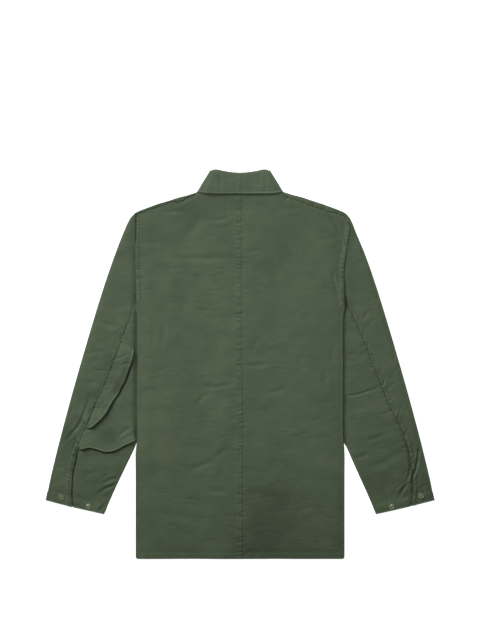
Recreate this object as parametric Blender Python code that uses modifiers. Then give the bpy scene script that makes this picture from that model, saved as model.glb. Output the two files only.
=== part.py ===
"""An overshirt laid flat, back up, with its sides folded under: one closed solid for each sewn piece.

Lengths are in millimetres, and become metres where a mesh is made. +X runs to the wearer's right
sleeve, +Y from the hem to the collar and +Z up from the floor at z = 0. The back's centre is x = 0.
Tables of (x, y) are of the right half, and the left half mirrors them.
"""

import math

import bmesh
import bpy

METRES = 0.001

# Cloth, and how its layers lie on each other
CLOTH = 1.0                 # wall of every panel
COLLAR_CLOTH = 1.8          # the collar fall: two plies and what stiffens them
LAYER = 1.4                 # from the middle of one layer to the middle of the next
SEAM_GAP = 0.4              # between two pieces sewn edge to edge
ARC_STEPS = 4               # facets round a fold

# Body
HALF_BODY = 219.0           # centre to the side fold, which is also half the shoulder width
HEM_Y = -407.8
SIDE_SEAM_X = 169.0         # the side seam, 50 mm in from the fold on the hidden side
UNDERARM_Y = 75.0
ARMHOLE_Y = 122.0           # where the armhole seam passes over the side fold
NECK_SEAM_Y = 361.2         # the back's top edge, under the collar fall
NECK_CORNER_X = 92.0        # the shoulder seam begins here
LAP = 14.0                  # each front reaches this far past the centre
SIDE_TURN_LAYERS = 2        # hidden layers between the floor and the front at the side fold

# Where the body's layers rise over what lies under them: a slope's two ends, from high to low
SIDES_SLOPE_Y = (130.0, 290.0)      # the hidden layers at the sides end towards the shoulder
SLEEVE_SLOPE_Y = (-195.0, -250.0)   # the sleeve's inner edge comes out from under the body
LAP_SLOPE_X = (18.0, 46.0)          # the lapped fronts
LAP_SLOPE_Y = (262.0, 288.0)
BACK_SLOPE_X = (18.0, 130.0)        # the back over the lapped fronts
BACK_SLOPE_Y = (288.0, 334.0)
FRONT_LEAF_SLOPE = (20.0, 52.0)     # out from the edge of the collar's leaf
BACK_LEAF_SLOPE = (20.0, 80.0)

# Sleeves
SLEEVE_EDGE_X = HALF_BODY + 0.5
SLEEVE_LEVEL_Y = 185.0      # above it the sleeve lies level with the back at the armhole
SLEEVE_SLOPE_X = 290.0      # and falls to its own level here
SLEEVE_EASE = 1.2           # air inside the sleeve
SHOULDER_ROLL = 0.9         # the sleeve head stands this much fuller than the seam
ELBOW_RISE = 1.8            # the two folds of the left sleeve's elbow
ELBOW_FOLD_WIDTH = 17.0
OUTER_LEAD = 0.85           # powers: the outer fold's rings run ahead of the seams'
INNER_LAG = 1.25            # and the inner fold's run behind them
SQUARE_SHARE = 0.03         # the folds turn square to the sleeve's edges by this share of its length
BEND_SHARE = 0.3            # the under sleeve's rings follow the hidden armhole up to here
RING_CLEAR = 9.0            # and spread from it before they slide down it

# Fastenings
SNAP_RADIUS = 6.0
SNAP_HEIGHT = 1.5
SNAP_SEAT = 0.3             # between a snap and the cloth that it is pressed on
SNAP_FACETS = 16
SNAP_PROFILE = (
    # share of the radius, share of the height: a domed middle, a groove and a rolled rim
    (0.0, 0.85), (0.5, 0.75), (0.66, 0.45), (0.82, 1.0), (1.0, 0.55), (1.0, 0.0), (0.0, 0.0),
)
FRONT_SNAPS_Y = (248.0, 139.0, 29.0, -79.0, -187.0, -295.0)
CUFF_SNAPS = (
    # name, x, y
    ("cuff_cap_left", -374.5, -279.1),
    ("cuff_cap_right", 379.6, -275.7),
    ("cuff_stud_left", -317.6, -298.4),
    ("cuff_stud_right", 318.7, -299.0),
)

# How far each hidden thing lifts what lies over it
HIDDEN_SLEEVE = CLOTH + LAYER + 0.3
LEAF_LIFT = COLLAR_CLOTH + SEAM_GAP
SNAP_LIFT = SNAP_HEIGHT + SNAP_SEAT
STAND_RISE = 0.4            # the stand lies this much prouder than the back's neck edge

# Outlines of the body, as (x, y)
SHOULDER = ((86.4, 362.4), (109.1, 355.1), (131.4, 348.8), (172.1, 336.2), (206.1, 323.6),
            (219.4, 317.7))
SEAM_DROP = ((86.0, 8.5), (134.0, 10.4), (180.0, 8.4), (219.0, 5.0))  # the seam under the outline
FRONT_NECK = ((-14.0, 290.0), (14.0, 290.0), (30.0, 294.0), (46.0, 302.0), (62.0, 315.0),
              (76.0, 334.0))

# Lines of the sleeves, from the armhole to the sleeve's end, as (x, y)
SLEEVE_OUTER = ((220.0, 317.3), (230.9, 304.7), (243.7, 277.4), (269.1, 210.2), (296.8, 126.2),
                (346.2, -41.8), (382.1, -176.2), (407.5, -283.0))
SLEEVE_INNER = ((172.0, 72.0), (173.0, 0.0), (178.0, -50.0), (196.0, -120.0), (222.3, -176.2),
                (253.6, -243.4), (284.5, -314.8))
FRONT_SLEEVE_SEAM = ((219.5, 143.0), (240.0, 95.0), (252.0, 30.0), (258.0, -40.0), (266.0, -110.0),
                     (285.0, -200.0), (314.0, -307.2))
BACK_SLEEVE_SEAM = {
    "right": ((219.5, 143.0), (239.3, 96.8), (262.4, 44.3), (284.2, -12.4), (312.1, -82.5),
              (345.1, -155.2), (361.7, -234.4), (358.3, -295.7)),
    "left": ((219.5, 143.0), (243.1, 72.1), (262.8, 24.9), (276.0, -10.1), (299.1, -59.4),
             (335.5, -145.3), (353.7, -221.1), (351.0, -297.6)),
}
ELBOW_FOLDS = {
    "right": (),
    "left": (((226.0, 32.0), (238.0, -15.0), (262.0, -62.0), (290.0, -102.0), (322.0, -132.0)),
             ((226.0, -150.0), (252.0, -170.0), (290.0, -172.0), (330.0, -172.0))),
}
ARMHOLE_CORNER = (SLEEVE_EDGE_X, ARMHOLE_Y - 2.0)

# Collar, as (x, y); it folds round to the front at its side line
COLLAR_SIDE_TOP = (59.2, 405.3)
COLLAR_SIDE_LOW = (86.5, 359.7)
COLLAR_SIDE_OUT = (0.858, 0.514)
FALL_TOP = ((0.0, 401.5), (20.0, 402.2), (45.0, 405.0), COLLAR_SIDE_TOP)
FALL_EDGE = ((0.0, 356.0), (40.0, 356.0), (70.0, 356.6), COLLAR_SIDE_LOW)
LEAF_TOP = (COLLAR_SIDE_TOP, (46.0, 366.0), (30.0, 345.0), (8.0, 330.0))
LEAF_EDGE = (COLLAR_SIDE_LOW, (76.0, 330.0), (62.0, 295.0), (48.0, 262.0))
STAND_SIDE_TOP = (60.6, 402.4)
STAND_SIDE_LOW = (84.6, 363.0)
STAND_BACK_TOP = ((0.0, 398.7), (19.0, 399.4), (39.0, 401.3), (59.0, 402.4))
STAND_BACK_LOW = ((0.0, 361.6), (28.0, 361.6), (56.0, 361.6), (83.1, 362.6))
STAND_FRONT_TOP = ((44.0, 366.0), (37.0, 356.0), (30.0, 348.0), (22.0, 341.0), (14.0, 335.5),
                   (4.0, 332.0))
STAND_FRONT_LOW_X = (76.0, 62.0, 46.0, 30.0, 14.0, 4.0)
STAND_FRONT_GAP = 0.8

# Grid lines that the back and the fronts share, so that one never cuts through the other
COLUMNS = (14.0, 30.0, 46.0, 62.0, 76.0, NECK_CORNER_X, 108.0, 128.0, 148.0, SIDE_SEAM_X, 185.0, 201.0)
TURNED_COLUMNS = (201.0, 185.0, SIDE_SEAM_X)
ROWS = (HEM_Y, -370.0, -330.0, -290.0, -250.0, -215.0, -180.0, -140.0, -95.0, -50.0, -5.0, 40.0,
        UNDERARM_Y, 100.0, ARMHOLE_Y, 127.0, 165.0, 205.0, 240.0, 262.0, 280.0)
TOP_SHARES = (0.4, 0.7, 1.0)
TURN_ROW = ROWS.index(ARMHOLE_Y)
TURN_BENDS_Y = 40.0         # above it the turned-under part's rows close up towards the armhole

# Grid lines of the sleeves and the collar, as shares of their length and width
SLEEVE_SHARES = (0.0, 0.012, 0.03, 0.055, 0.085, 0.12, 0.16, 0.21, 0.26, 0.31, 0.35, 0.39, 0.43,
                 0.47, 0.51, 0.55, 0.59, 0.63, 0.67, 0.71, 0.75, 0.79, 0.85, 0.91, 0.955, 1.0)
SLEEVE_STEPS = (0.0, 0.2, 0.4, 0.6, 0.8, 1.0)
CORNER_STEP = 0.6           # the hidden armhole turns its corner at this one
QUARTERS = (0.0, 0.25, 0.5, 0.75, 1.0)

OLIVE = (0.082, 0.108, 0.073, 1.0)
BRASS = (0.33, 0.31, 0.22, 1.0)


# ---------------------------------------------------------------- numbers and curves

def ramp(start, end, value):
    """0 at start, 1 at end, and level at both."""
    share = min(max((value - start) / (end - start), 0.0), 1.0)
    return share * share * (3.0 - 2.0 * share)


def slope_down(ends, value):
    """1 at the first end, 0 at the second, and level at both."""
    return 1.0 - ramp(*ends, value)


def mix(first, second, share):
    return tuple(a + (b - a) * share for a, b in zip(first, second))


def unit(first, second):
    """The direction from the first point to the second."""
    length = math.dist(first, second)
    return tuple((b - a) / length for a, b in zip(first, second))


def value_at(table, x):
    """The straight-line value of a table of (x, value) at x, level past its ends."""
    if x <= table[0][0]:
        return table[0][1]
    for (x0, y0), (x1, y1) in zip(table, table[1:]):
        if x <= x1:
            return y0 + (y1 - y0) * (x - x0) / (x1 - x0)
    return table[-1][1]


def along(points, share):
    """A smooth curve through the points: the place at this share of its length."""
    lengths = [0.0]
    for first, second in zip(points, points[1:]):
        lengths.append(lengths[-1] + math.dist(first, second))
    place = share * lengths[-1]
    span = max(i for i in range(len(points) - 1) if lengths[i] <= place + 1e-9)
    width = lengths[span + 1] - lengths[span]
    t = (place - lengths[span]) / width

    def slope(index):
        before, after = max(index - 1, 0), min(index + 1, len(points) - 1)
        reach = lengths[after] - lengths[before]
        return tuple((b - a) / reach * width for a, b in zip(points[before], points[after]))

    start, end = points[span], points[span + 1]
    start_slope, end_slope = slope(span), slope(span + 1)
    return tuple((2 * t ** 3 - 3 * t ** 2 + 1) * start[k] + (t ** 3 - 2 * t ** 2 + t) * start_slope[k]
                 + (3 * t ** 2 - 2 * t ** 3) * end[k] + (t ** 3 - t ** 2) * end_slope[k]
                 for k in range(2))


def distance_to(line, x, y):
    """From (x, y) to the nearest point of a line of straight runs."""
    nearest = math.inf
    for start, end in zip(line, line[1:]):
        run = (end[0] - start[0], end[1] - start[1])
        share = ((x - start[0]) * run[0] + (y - start[1]) * run[1]) / (run[0] ** 2 + run[1] ** 2)
        nearest = min(nearest, math.dist(mix(start, end, min(max(share, 0.0), 1.0)), (x, y)))
    return nearest


def fold_point(centre, outward, z_high, z_low, share):
    """A point of the half circle that takes a sheet from z_high round to z_low."""
    radius = (z_high - z_low) / 2.0
    angle = math.pi * (0.5 - share)
    reach = radius * math.cos(angle)
    return (centre[0] + outward[0] * reach, centre[1] + outward[1] * reach,
            (z_high + z_low) / 2.0 + radius * math.sin(angle))


FOLD_SHARES = [step / ARC_STEPS for step in range(1, ARC_STEPS)]


# ---------------------------------------------------------------- heights of the body's layers

def tuck_lift(x, y):
    """The sleeve under the body's side lifts it."""
    across = ramp(SIDE_SEAM_X - 55.0, SIDE_SEAM_X - 19.0, x)
    return HIDDEN_SLEEVE * across * slope_down(SLEEVE_SLOPE_Y, y) * slope_down(SIDES_SLOPE_Y, y)


def side_lift(x, y):
    """The two layers folded under at the side lift those above."""
    across = ramp(SIDE_SEAM_X - 45.0, SIDE_SEAM_X - 5.0, x)
    return SIDE_TURN_LAYERS * LAYER * across * slope_down(SIDES_SLOPE_Y, y)


def leaf_lift(x, y, slope):
    """The collar's front leaf lifts the cloth over it, and a little way past its outer edge."""
    edge_x, edge_y = LEAF_EDGE[0]
    run_x, run_y = unit(LEAF_EDGE[0], LEAF_EDGE[-1])
    outward = (y - edge_y) * run_x - (x - edge_x) * run_y
    below = LEAF_EDGE[-1][1] - y
    return LEAF_LIFT * slope_down(slope, max(outward, below))


def front_z(x, y, upper):
    """The middle of a front; the right one laps over the left one at the centre."""
    centre = slope_down(LAP_SLOPE_X, x)
    snaps = SNAP_LIFT * centre * slope_down(LAP_SLOPE_Y, y)
    lap = LAYER * centre if upper else 0.0
    sides = tuck_lift(x, y) + side_lift(x, y)
    return CLOTH / 2.0 + sides + leaf_lift(x, y, FRONT_LEAF_SLOPE) + snaps + lap


def back_z(x, y):
    """The middle of the back, which rides on the fronts."""
    centre = (SNAP_LIFT + LAYER) * slope_down(BACK_SLOPE_X, x) * slope_down(BACK_SLOPE_Y, y)
    sides = tuck_lift(x, y) + side_lift(x, y)
    return CLOTH / 2.0 + LAYER + sides + leaf_lift(x, y, BACK_LEAF_SLOPE) + centre


def turned_z(layer):
    """The height of a turned-under layer, counted up from the lowest."""
    def height(x, y):
        return CLOTH / 2.0 + layer * LAYER + tuck_lift(x, y)
    return height


def back_top_y(x):
    if x < NECK_CORNER_X:
        return NECK_SEAM_Y
    return value_at(SHOULDER, x) - value_at(SEAM_DROP, x) - SEAM_GAP


def front_top_y(x):
    """The front's neckline, then the line where it folds over the shoulder."""
    if x < NECK_CORNER_X:
        return value_at(FRONT_NECK, x)
    return value_at(SHOULDER, x) - (LAYER + CLOTH) / 2.0


# ---------------------------------------------------------------- panels

def panel(name, points, material, wall=CLOTH, keep=None):
    """A sheet on a grid of points, thickened to a closed solid; keep says which faces are cloth."""
    last_row, last_column = len(points) - 1, len(points[0]) - 1
    mesh = bpy.data.meshes.new(name)
    form = bmesh.new()
    bmesh.ops.create_grid(form, x_segments=last_column, y_segments=last_row, size=0.5)
    places = {}
    for vertex in form.verts:
        row = round((vertex.co.y + 0.5) * last_row)
        column = round((vertex.co.x + 0.5) * last_column)
        places[vertex] = (row, column)
        vertex.co = [value * METRES for value in points[row][column]]
    if keep:
        first_corners = {face: min(places[vertex] for vertex in face.verts) for face in form.faces}
        cut = [face for face, corner in first_corners.items() if not keep(*corner)]
        bmesh.ops.delete(form, geom=cut, context="FACES")
    form.to_mesh(mesh)
    form.free()
    mesh.materials.append(material)
    piece = bpy.data.objects.new(name, mesh)
    GARMENT.objects.link(piece)
    thicken = piece.modifiers.new("wall", "SOLIDIFY")
    thicken.thickness = wall * METRES
    thicken.offset = 0.0
    thicken.use_even_offset = True


def folded_row(row, first_x, main_z, under_z):
    """One row of a body panel: its laid part, the side fold, then what is turned under."""
    y = ROWS[row]
    fold_x = HALF_BODY - CLOTH / 2.0 - 1.5 * LAYER if row <= TURN_ROW else HALF_BODY
    line = [(x, y, main_z(x, y)) for x in (first_x,) + COLUMNS + (fold_x,)]
    high, low = main_z(fold_x, y), under_z(fold_x, y)
    line += [fold_point((fold_x, y), (1.0, 0.0), high, low, share) for share in FOLD_SHARES + [1.0]]
    for x in TURNED_COLUMNS:
        inward = (HALF_BODY - x) / (HALF_BODY - SIDE_SEAM_X)
        armhole_y = ARMHOLE_Y + (UNDERARM_Y - ARMHOLE_Y) * inward
        under_y = y
        if y > TURN_BENDS_Y:
            closing = (armhole_y - TURN_BENDS_Y) / (ARMHOLE_Y - TURN_BENDS_Y)
            under_y = TURN_BENDS_Y + (y - TURN_BENDS_Y) * closing
        line.append((x, under_y, under_z(x, under_y)))
    return line


def body_panel(name, side, first_x, main_z, under_z, top_lines, keep_top, material):
    """Rows from the hem up; above the armhole nothing past the side fold is cloth."""
    rows = [folded_row(row, first_x, main_z, under_z) for row in range(len(ROWS))]
    columns = (first_x,) + COLUMNS + (HALF_BODY,)
    uncut = len(columns) - 1
    for line_at in top_lines:
        line = [(x, *line_at(x)) for x in columns]
        spare = [(HALF_BODY + step, line[-1][1], 0.0) for step in range(1, len(rows[0]) - uncut)]
        rows.append(line + spare)

    def keep(row, column):
        return (column < uncut or row < TURN_ROW) and keep_top(row, column)

    panel(name, [[(side * x, y, z) for x, y, z in line] for line in rows], material, keep=keep)


def rising_lines(top_y, main_z):
    """The lines of points between the last shared row and the panel's top edge."""
    def line(share):
        def place(x):
            y = ROWS[-1] + (top_y(x) - ROWS[-1]) * share
            return y, main_z(x, y)
        return place
    return [line(share) for share in TOP_SHARES]


def back_half(side_name, side, material):
    body_panel("back_" + side_name, side, SEAM_GAP / 2.0, back_z, turned_z(0),
               rising_lines(back_top_y, back_z), lambda row, column: True, material)


def front_half(side_name, side, material):
    """A front, which folds over the shoulder to its seam on the back."""
    upper = side_name == "right"
    neck_column = COLUMNS.index(NECK_CORNER_X) + 1

    def main_z(x, y):
        return front_z(x, y, upper)

    def round_shoulder(share):
        def place(x):
            y = front_top_y(x)
            return fold_point((x, y), (0.0, 1.0), back_z(x, y), main_z(x, y), share)[1:]
        return place

    def down_to_seam(share):
        def place(x):
            y = front_top_y(x)
            y += (min(back_top_y(x) + SEAM_GAP, y - 1.0) - y) * share
            return y, back_z(x, y)
        return place

    rising = rising_lines(front_top_y, main_z)
    fold_row = len(ROWS) + len(rising) - 1
    lines = rising + [round_shoulder(share) for share in reversed([0.0] + FOLD_SHARES)]
    lines += [down_to_seam(share) for share in (0.5, 1.0)]
    body_panel("front_" + side_name, side, -LAP, main_z, turned_z(1), lines,
               lambda row, column: row < fold_row or column >= neck_column, material)


# ---------------------------------------------------------------- sleeves

def sleeve_z(side_name, x, y, top):
    """The middle of a sleeve's upper or lower layer; at the armhole it meets the body's level."""
    own, level, roll = CLOTH / 2.0, front_z(HALF_BODY, y, False), 0.0
    if top:
        level = back_z(HALF_BODY, y)
        roll = SHOULDER_ROLL * ramp(SLEEVE_EDGE_X, SLEEVE_EDGE_X + 8.5, x) * ramp(*SIDES_SLOPE_Y, y)
        ease = SLEEVE_EASE
        for fold in ELBOW_FOLDS[side_name]:
            ease += ELBOW_RISE * math.exp(-(distance_to(fold, x, y) / ELBOW_FOLD_WIDTH) ** 2)
        own += LAYER + ease * ramp(224.0, 262.0, x) * ramp(-285.0, -215.0, y)
    near = slope_down((SLEEVE_EDGE_X, SLEEVE_SLOPE_X), x) * ramp(ARMHOLE_Y, SLEEVE_LEVEL_Y, y)
    return own + (level - own) * near + roll


def fold_inward(line, line_share, at_armhole, turn, share):
    """Square to a sleeve's folded edge, towards its inside; at the armhole it follows the seam."""
    before, after = along(line, max(line_share - 0.02, 0.0)), along(line, min(line_share + 0.02, 1.0))
    tangent = unit(before, after)
    square = (tangent[1] * turn, -tangent[0] * turn)
    return unit((0.0, 0.0), mix(at_armhole, square, ramp(0.0, SQUARE_SHARE, share)))


def sleeve_section(side_name, share):
    """The two seams and the two folded edges of a sleeve at this share of its length."""
    outer_share, inner_share = share ** OUTER_LEAD, share ** INNER_LAG
    return {
        "back": along(BACK_SLEEVE_SEAM[side_name], share),
        "front": along(FRONT_SLEEVE_SEAM, share),
        "outer": along(SLEEVE_OUTER, outer_share),
        "inner": along(SLEEVE_INNER, inner_share),
        "outer inward": fold_inward(SLEEVE_OUTER, outer_share, (0.0, -1.0), 1.0, share),
        "inner inward": fold_inward(SLEEVE_INNER, inner_share, (0.7, 0.7), -1.0, share),
    }


def under_body_bend(seam, step, share):
    """Bends the under sleeve's rings along the hidden armhole, round its corner."""
    if step <= CORNER_STEP:
        bent = mix(SLEEVE_INNER[0], ARMHOLE_CORNER, step / CORNER_STEP)
    else:
        bent = mix(ARMHOLE_CORNER, seam, (step - CORNER_STEP) / (1.0 - CORNER_STEP))
    straight = mix(SLEEVE_INNER[0], seam, step)
    fade = max(1.0 - share / BEND_SHARE, 0.0) ** 2
    clear = RING_CLEAR * min(share / 0.1, 1.0) * slope_down((0.12, 0.45), share)
    return (bent[0] - straight[0]) * fade + clear * math.sin(math.pi * step), (bent[1] - straight[1]) * fade


def sleeve_row(side_name, fold, share):
    """Half a ring: from the back seam, round one folded edge, to the front seam underneath."""
    section = sleeve_section(side_name, share)
    edge, inward = section[fold], section[fold + " inward"]
    depth = sleeve_z(side_name, *edge, True) - sleeve_z(side_name, *edge, False)
    centre = tuple(e + i * (depth + CLOTH) / 2.0 for e, i in zip(edge, inward))
    layers = {}
    for seam, top in (("back", True), ("front", False)):
        toward = unit(centre, section[seam])
        end = tuple(s - t * SEAM_GAP / 2.0 for s, t in zip(section[seam], toward))
        layers[seam] = []
        for step in SLEEVE_STEPS:
            x, y = mix(centre, end, step)
            if fold == "inner":
                bend = under_body_bend(BACK_SLEEVE_SEAM[side_name][0], step, share)
                x, y = x + bend[0], y + bend[1]
            layers[seam].append((x, y, sleeve_z(side_name, x, y, top)))
    outward = tuple(-i for i in inward)
    high, low = layers["back"][0][2], layers["front"][0][2]
    arc = [fold_point(centre, outward, high, low, arc_share) for arc_share in FOLD_SHARES]
    return list(reversed(layers["back"])) + arc + layers["front"]


def sleeve_panel(name, side_name, side, fold, material):
    rows = [sleeve_row(side_name, fold, share) for share in SLEEVE_SHARES]
    panel(name, [[(side * x, y, z) for x, y, z in line] for line in rows], material)


# ---------------------------------------------------------------- collar

NECK_Z = back_z(0.0, NECK_SEAM_Y)


def mirrored(right):
    """A whole row from its right half, whose first point is on the centre line."""
    return [(-x, y, z) for x, y, z in reversed(right[1:])] + right


def collar_fall(material):
    """The turned-down part: over the back's neck, round its side line, then a leaf under each front."""
    z_back = NECK_Z + STAND_RISE + CLOTH / 2.0 + SEAM_GAP + COLLAR_CLOTH / 2.0
    z_leaf = COLLAR_CLOTH / 2.0
    rows = []
    for share in QUARTERS:
        line = [(*mix(along(FALL_TOP, step), along(FALL_EDGE, step), share), z_back) for step in QUARTERS]
        side_point = mix(COLLAR_SIDE_TOP, COLLAR_SIDE_LOW, share)
        line += [fold_point(side_point, COLLAR_SIDE_OUT, z_back, z_leaf, arc) for arc in FOLD_SHARES]
        line += [(*mix(along(LEAF_TOP, step), along(LEAF_EDGE, step), share), z_leaf) for step in QUARTERS]
        rows.append(mirrored(line))
    panel("collar_fall", rows, material, wall=COLLAR_CLOTH)


def collar_stand(material):
    """The upright part, laid down inside the fall, from the neck seam to the collar's fold."""
    z_back, z_front = NECK_Z + STAND_RISE, NECK_Z - LAYER
    front_low = [(x, value_at(FRONT_NECK, x) + STAND_FRONT_GAP) for x in STAND_FRONT_LOW_X]
    rows = []
    for share in (0.0, 0.5, 1.0):
        line = [(*mix(low, top, share), z_back) for low, top in zip(STAND_BACK_LOW, STAND_BACK_TOP)]
        side_point = mix(STAND_SIDE_LOW, STAND_SIDE_TOP, share)
        arcs = FOLD_SHARES + [1.0]
        line += [fold_point(side_point, COLLAR_SIDE_OUT, z_back, z_front, arc) for arc in arcs]
        line += [(*mix(low, top, share), z_front) for low, top in zip(front_low, STAND_FRONT_TOP)]
        rows.append(mirrored(line))
    panel("collar_stand", rows, material)


# ---------------------------------------------------------------- snaps

def snap(name, x, y, z, faces_down, material):
    """A pressed snap, turned from its profile."""
    mesh = bpy.data.meshes.new(name)
    form = bmesh.new()
    profile = [(r * SNAP_RADIUS * METRES, 0.0, h * SNAP_HEIGHT * METRES) for r, h in SNAP_PROFILE]
    corners = [form.verts.new(place) for place in profile]
    edges = [form.edges.new(pair) for pair in zip(corners, corners[1:])]
    bmesh.ops.spin(form, geom=corners + edges, cent=(0, 0, 0), axis=(0, 0, 1), angle=2 * math.pi,
                   steps=SNAP_FACETS, use_merge=True)
    bmesh.ops.remove_doubles(form, verts=form.verts, dist=0.00001)
    bmesh.ops.dissolve_degenerate(form, edges=form.edges, dist=0.00001)
    bmesh.ops.recalc_face_normals(form, faces=form.faces)
    form.to_mesh(mesh)
    form.free()
    mesh.materials.append(material)
    mesh.shade_smooth()
    mesh.set_sharp_from_angle(angle=math.radians(40))
    piece = bpy.data.objects.new(name, mesh)
    GARMENT.objects.link(piece)
    piece.location = (x * METRES, y * METRES, z * METRES)
    if faces_down:
        piece.rotation_euler = (math.pi, 0.0, 0.0)


# ---------------------------------------------------------------- the garment

def material(name, colour, roughness, metallic):
    made = bpy.data.materials.new(name)
    made.use_nodes = True
    shader = made.node_tree.nodes["Principled BSDF"]
    shader.inputs["Base Color"].default_value = colour
    shader.inputs["Roughness"].default_value = roughness
    shader.inputs["Metallic"].default_value = metallic
    return made


for old in list(bpy.data.objects):
    bpy.data.objects.remove(old)

GARMENT = bpy.data.collections.new("overshirt")
bpy.context.scene.collection.children.link(GARMENT)
cloth = material("cloth", OLIVE, 0.85, 0.0)
metal = material("snap metal", BRASS, 0.4, 1.0)

for half, sign in (("left", -1), ("right", 1)):
    back_half(half, sign, cloth)
    front_half(half, sign, cloth)
    sleeve_panel("top_sleeve_" + half, half, sign, "outer", cloth)
    sleeve_panel("under_sleeve_" + half, half, sign, "inner", cloth)

collar_fall(cloth)
collar_stand(cloth)

for snap_name, snap_x, snap_y in CUFF_SNAPS:
    snap(snap_name, snap_x, snap_y, CLOTH + LAYER + SNAP_SEAT, False, metal)
for number, snap_y in enumerate(FRONT_SNAPS_Y, start=1):
    under_front = front_z(0.0, snap_y, False) - CLOTH / 2.0 - SNAP_SEAT
    snap(f"front_snap_{number}", 0.0, snap_y, under_front, True, metal)
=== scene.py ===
"""The looks of an overshirt laid flat, back up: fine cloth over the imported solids, stitching and snaps.

Lengths are in millimetres until a mesh is made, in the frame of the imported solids: +X to the
wearer's right sleeve, +Y from the hem to the collar, +Z up. Forms follow the same lines and layer
heights as the solids. A place on the photograph is written photo(px, py), in its pixels.
"""

import math

import bmesh
import bpy
import numpy as np
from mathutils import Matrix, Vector
from mathutils.bvhtree import BVHTree


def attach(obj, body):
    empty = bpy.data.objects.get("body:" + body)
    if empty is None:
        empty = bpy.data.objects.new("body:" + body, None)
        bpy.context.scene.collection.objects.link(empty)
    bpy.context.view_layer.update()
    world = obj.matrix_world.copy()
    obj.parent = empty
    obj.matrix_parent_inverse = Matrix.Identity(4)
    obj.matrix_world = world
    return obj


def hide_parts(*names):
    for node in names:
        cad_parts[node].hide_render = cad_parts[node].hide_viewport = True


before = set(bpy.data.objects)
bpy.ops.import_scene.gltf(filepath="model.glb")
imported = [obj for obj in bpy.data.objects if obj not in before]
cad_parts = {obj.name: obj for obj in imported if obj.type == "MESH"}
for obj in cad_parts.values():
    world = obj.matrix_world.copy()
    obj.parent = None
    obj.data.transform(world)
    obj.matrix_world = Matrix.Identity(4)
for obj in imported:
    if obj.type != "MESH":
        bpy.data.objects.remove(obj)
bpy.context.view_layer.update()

METRES = 0.001
SIDES = {"left": -1.0, "right": 1.0}

# The photograph's scale, the place on it of x = 0, y = 0, and the middle of the picture
PHOTO_MM = 2.1
PHOTO_X0 = 240.05
PHOTO_Y0 = 364.1
PICTURE_CENTRE = (240.0, 320.15)

# Cloth, and how its layers lie on each other: as the solids
CLOTH = 1.0
COLLAR_CLOTH = 1.8
LAYER = 1.4                 # from one layer's middle to the next one's
SEAM_GAP = 0.4
CLEAR = 0.08                # the least gap between one layer and the next
HALF_BODY = 219.0
HEM_Y = -407.8
SIDE_SEAM_X = 169.0
UNDERARM_Y = 75.0
ARMHOLE_Y = 122.0
NECK_SEAM_Y = 361.2
NECK_CORNER_X = 92.0
LAP = 14.0
SIDE_TURN = 2 * LAYER       # what the two layers of a turned side add to the height
SNAP_RADIUS = 6.0
SNAP_HEIGHT = 1.5
SNAP_LIFT = SNAP_HEIGHT + 0.3
FRONT_SNAPS_Y = (248.0, 139.0, 29.0, -79.0, -187.0, -295.0)
HIDDEN_SLEEVE = CLOTH + LAYER + 0.3
LEAF_LIFT = COLLAR_CLOTH + SEAM_GAP
STAND_RISE = 0.4

# The slopes where one layer comes down off another, each as (start, end)
SIDES_SLOPE_Y = (130.0, 290.0)
SLEEVE_SLOPE_Y = (-195.0, -250.0)
TUCK_SLOPE_X = (SIDE_SEAM_X - 55.0, SIDE_SEAM_X - 19.0)
TURN_SLOPE_X = (SIDE_SEAM_X - 45.0, SIDE_SEAM_X - 5.0)
BACK_TUCK_SLOPE_X = (SIDE_SEAM_X - 110.0, SIDE_SEAM_X - 19.0)
BACK_TURN_SLOPE_X = (SIDE_SEAM_X - 100.0, SIDE_SEAM_X - 5.0)
LAP_SLOPE_X = (18.0, 46.0)
LAP_SLOPE_Y = (262.0, 288.0)
BACK_SLOPE_X = (18.0, 130.0)
BACK_SLOPE_Y = (288.0, 334.0)
FRONT_LEAF_SLOPE = (20.0, 52.0)
BACK_LEAF_SLOPE = (20.0, 80.0)

# The turned sides and the fronts' armhole edges
FOLD_RADIUS = CLOTH / 2.0 + 1.5 * LAYER
SIDE_BEND_X = 175.0         # from here out, the columns of a body sheet follow its side
SIDE_BEND_Y = 70.0          # from here up, the side leans towards the armhole's low end
FOLD_ENDS_Y = ARMHOLE_Y - 6.0
TURNED_FROM_X = HALF_BODY - 18.0
TURN_BENDS_Y = 40.0
DRAWN_IN = {"left": 4.6, "right": 2.4}      # the body's side is narrower by this where it lies on a sleeve
DRAWN_IN_TOP_Y = (118.0, 96.0)
DRAWN_IN_LOW_Y = (-195.0, -140.0)
SEWN_Y = (112.0, 130.0)     # below these the body's side is laid, and above them it is sewn to the sleeve
ALLOWANCE_TOP_Y = 235.0     # up to here the fronts' armhole edges are turned down to the floor
ALLOWANCE_LEAN = 1.2
STRAIGHT_TOP_Y = 280.0      # the sheets' rows are level up to here, and then follow the shoulder

# The sleeves
SLEEVE_EDGE_X = HALF_BODY + 0.5
SLEEVE_LEVEL_Y = 185.0
SLEEVE_SLOPE_X = 290.0
SLEEVE_EASE = 2.9           # the upper layer lies this much fuller than its solid
SLEEVE_FLAT_Y = (-285.0, -215.0)            # that fullness dies away towards the sleeve's end
DIP_START = 4.2
SLEEVE_DIP = 5.0            # how far the sleeve takes to rise out of the dip beside the body
SHOULDER_ROLL = 0.9
SHOULDER_ROLL_WIDTH = 8.5
OUTER_LEAD = 0.85
INNER_LAG = 1.25
TANGENT_SHARE = 0.02
SQUARE_SHARE = 0.03
BEND_SHARE = 0.3
BOW_SHARE = 0.14            # over this share of its length, a sleeve's rings bend to the armhole
BOW_UNDER_Y = (100.0, 120.0)
RING_CLEAR = 9.0
RING_CLEAR_SHARES = (0.1, 0.12, 0.45)       # full at the first, and gone between the others
CORNER_STEP = 0.6
TUCKED_UNDER = 2.2          # the sleeve's edge goes this far under the body's felled band
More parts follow.
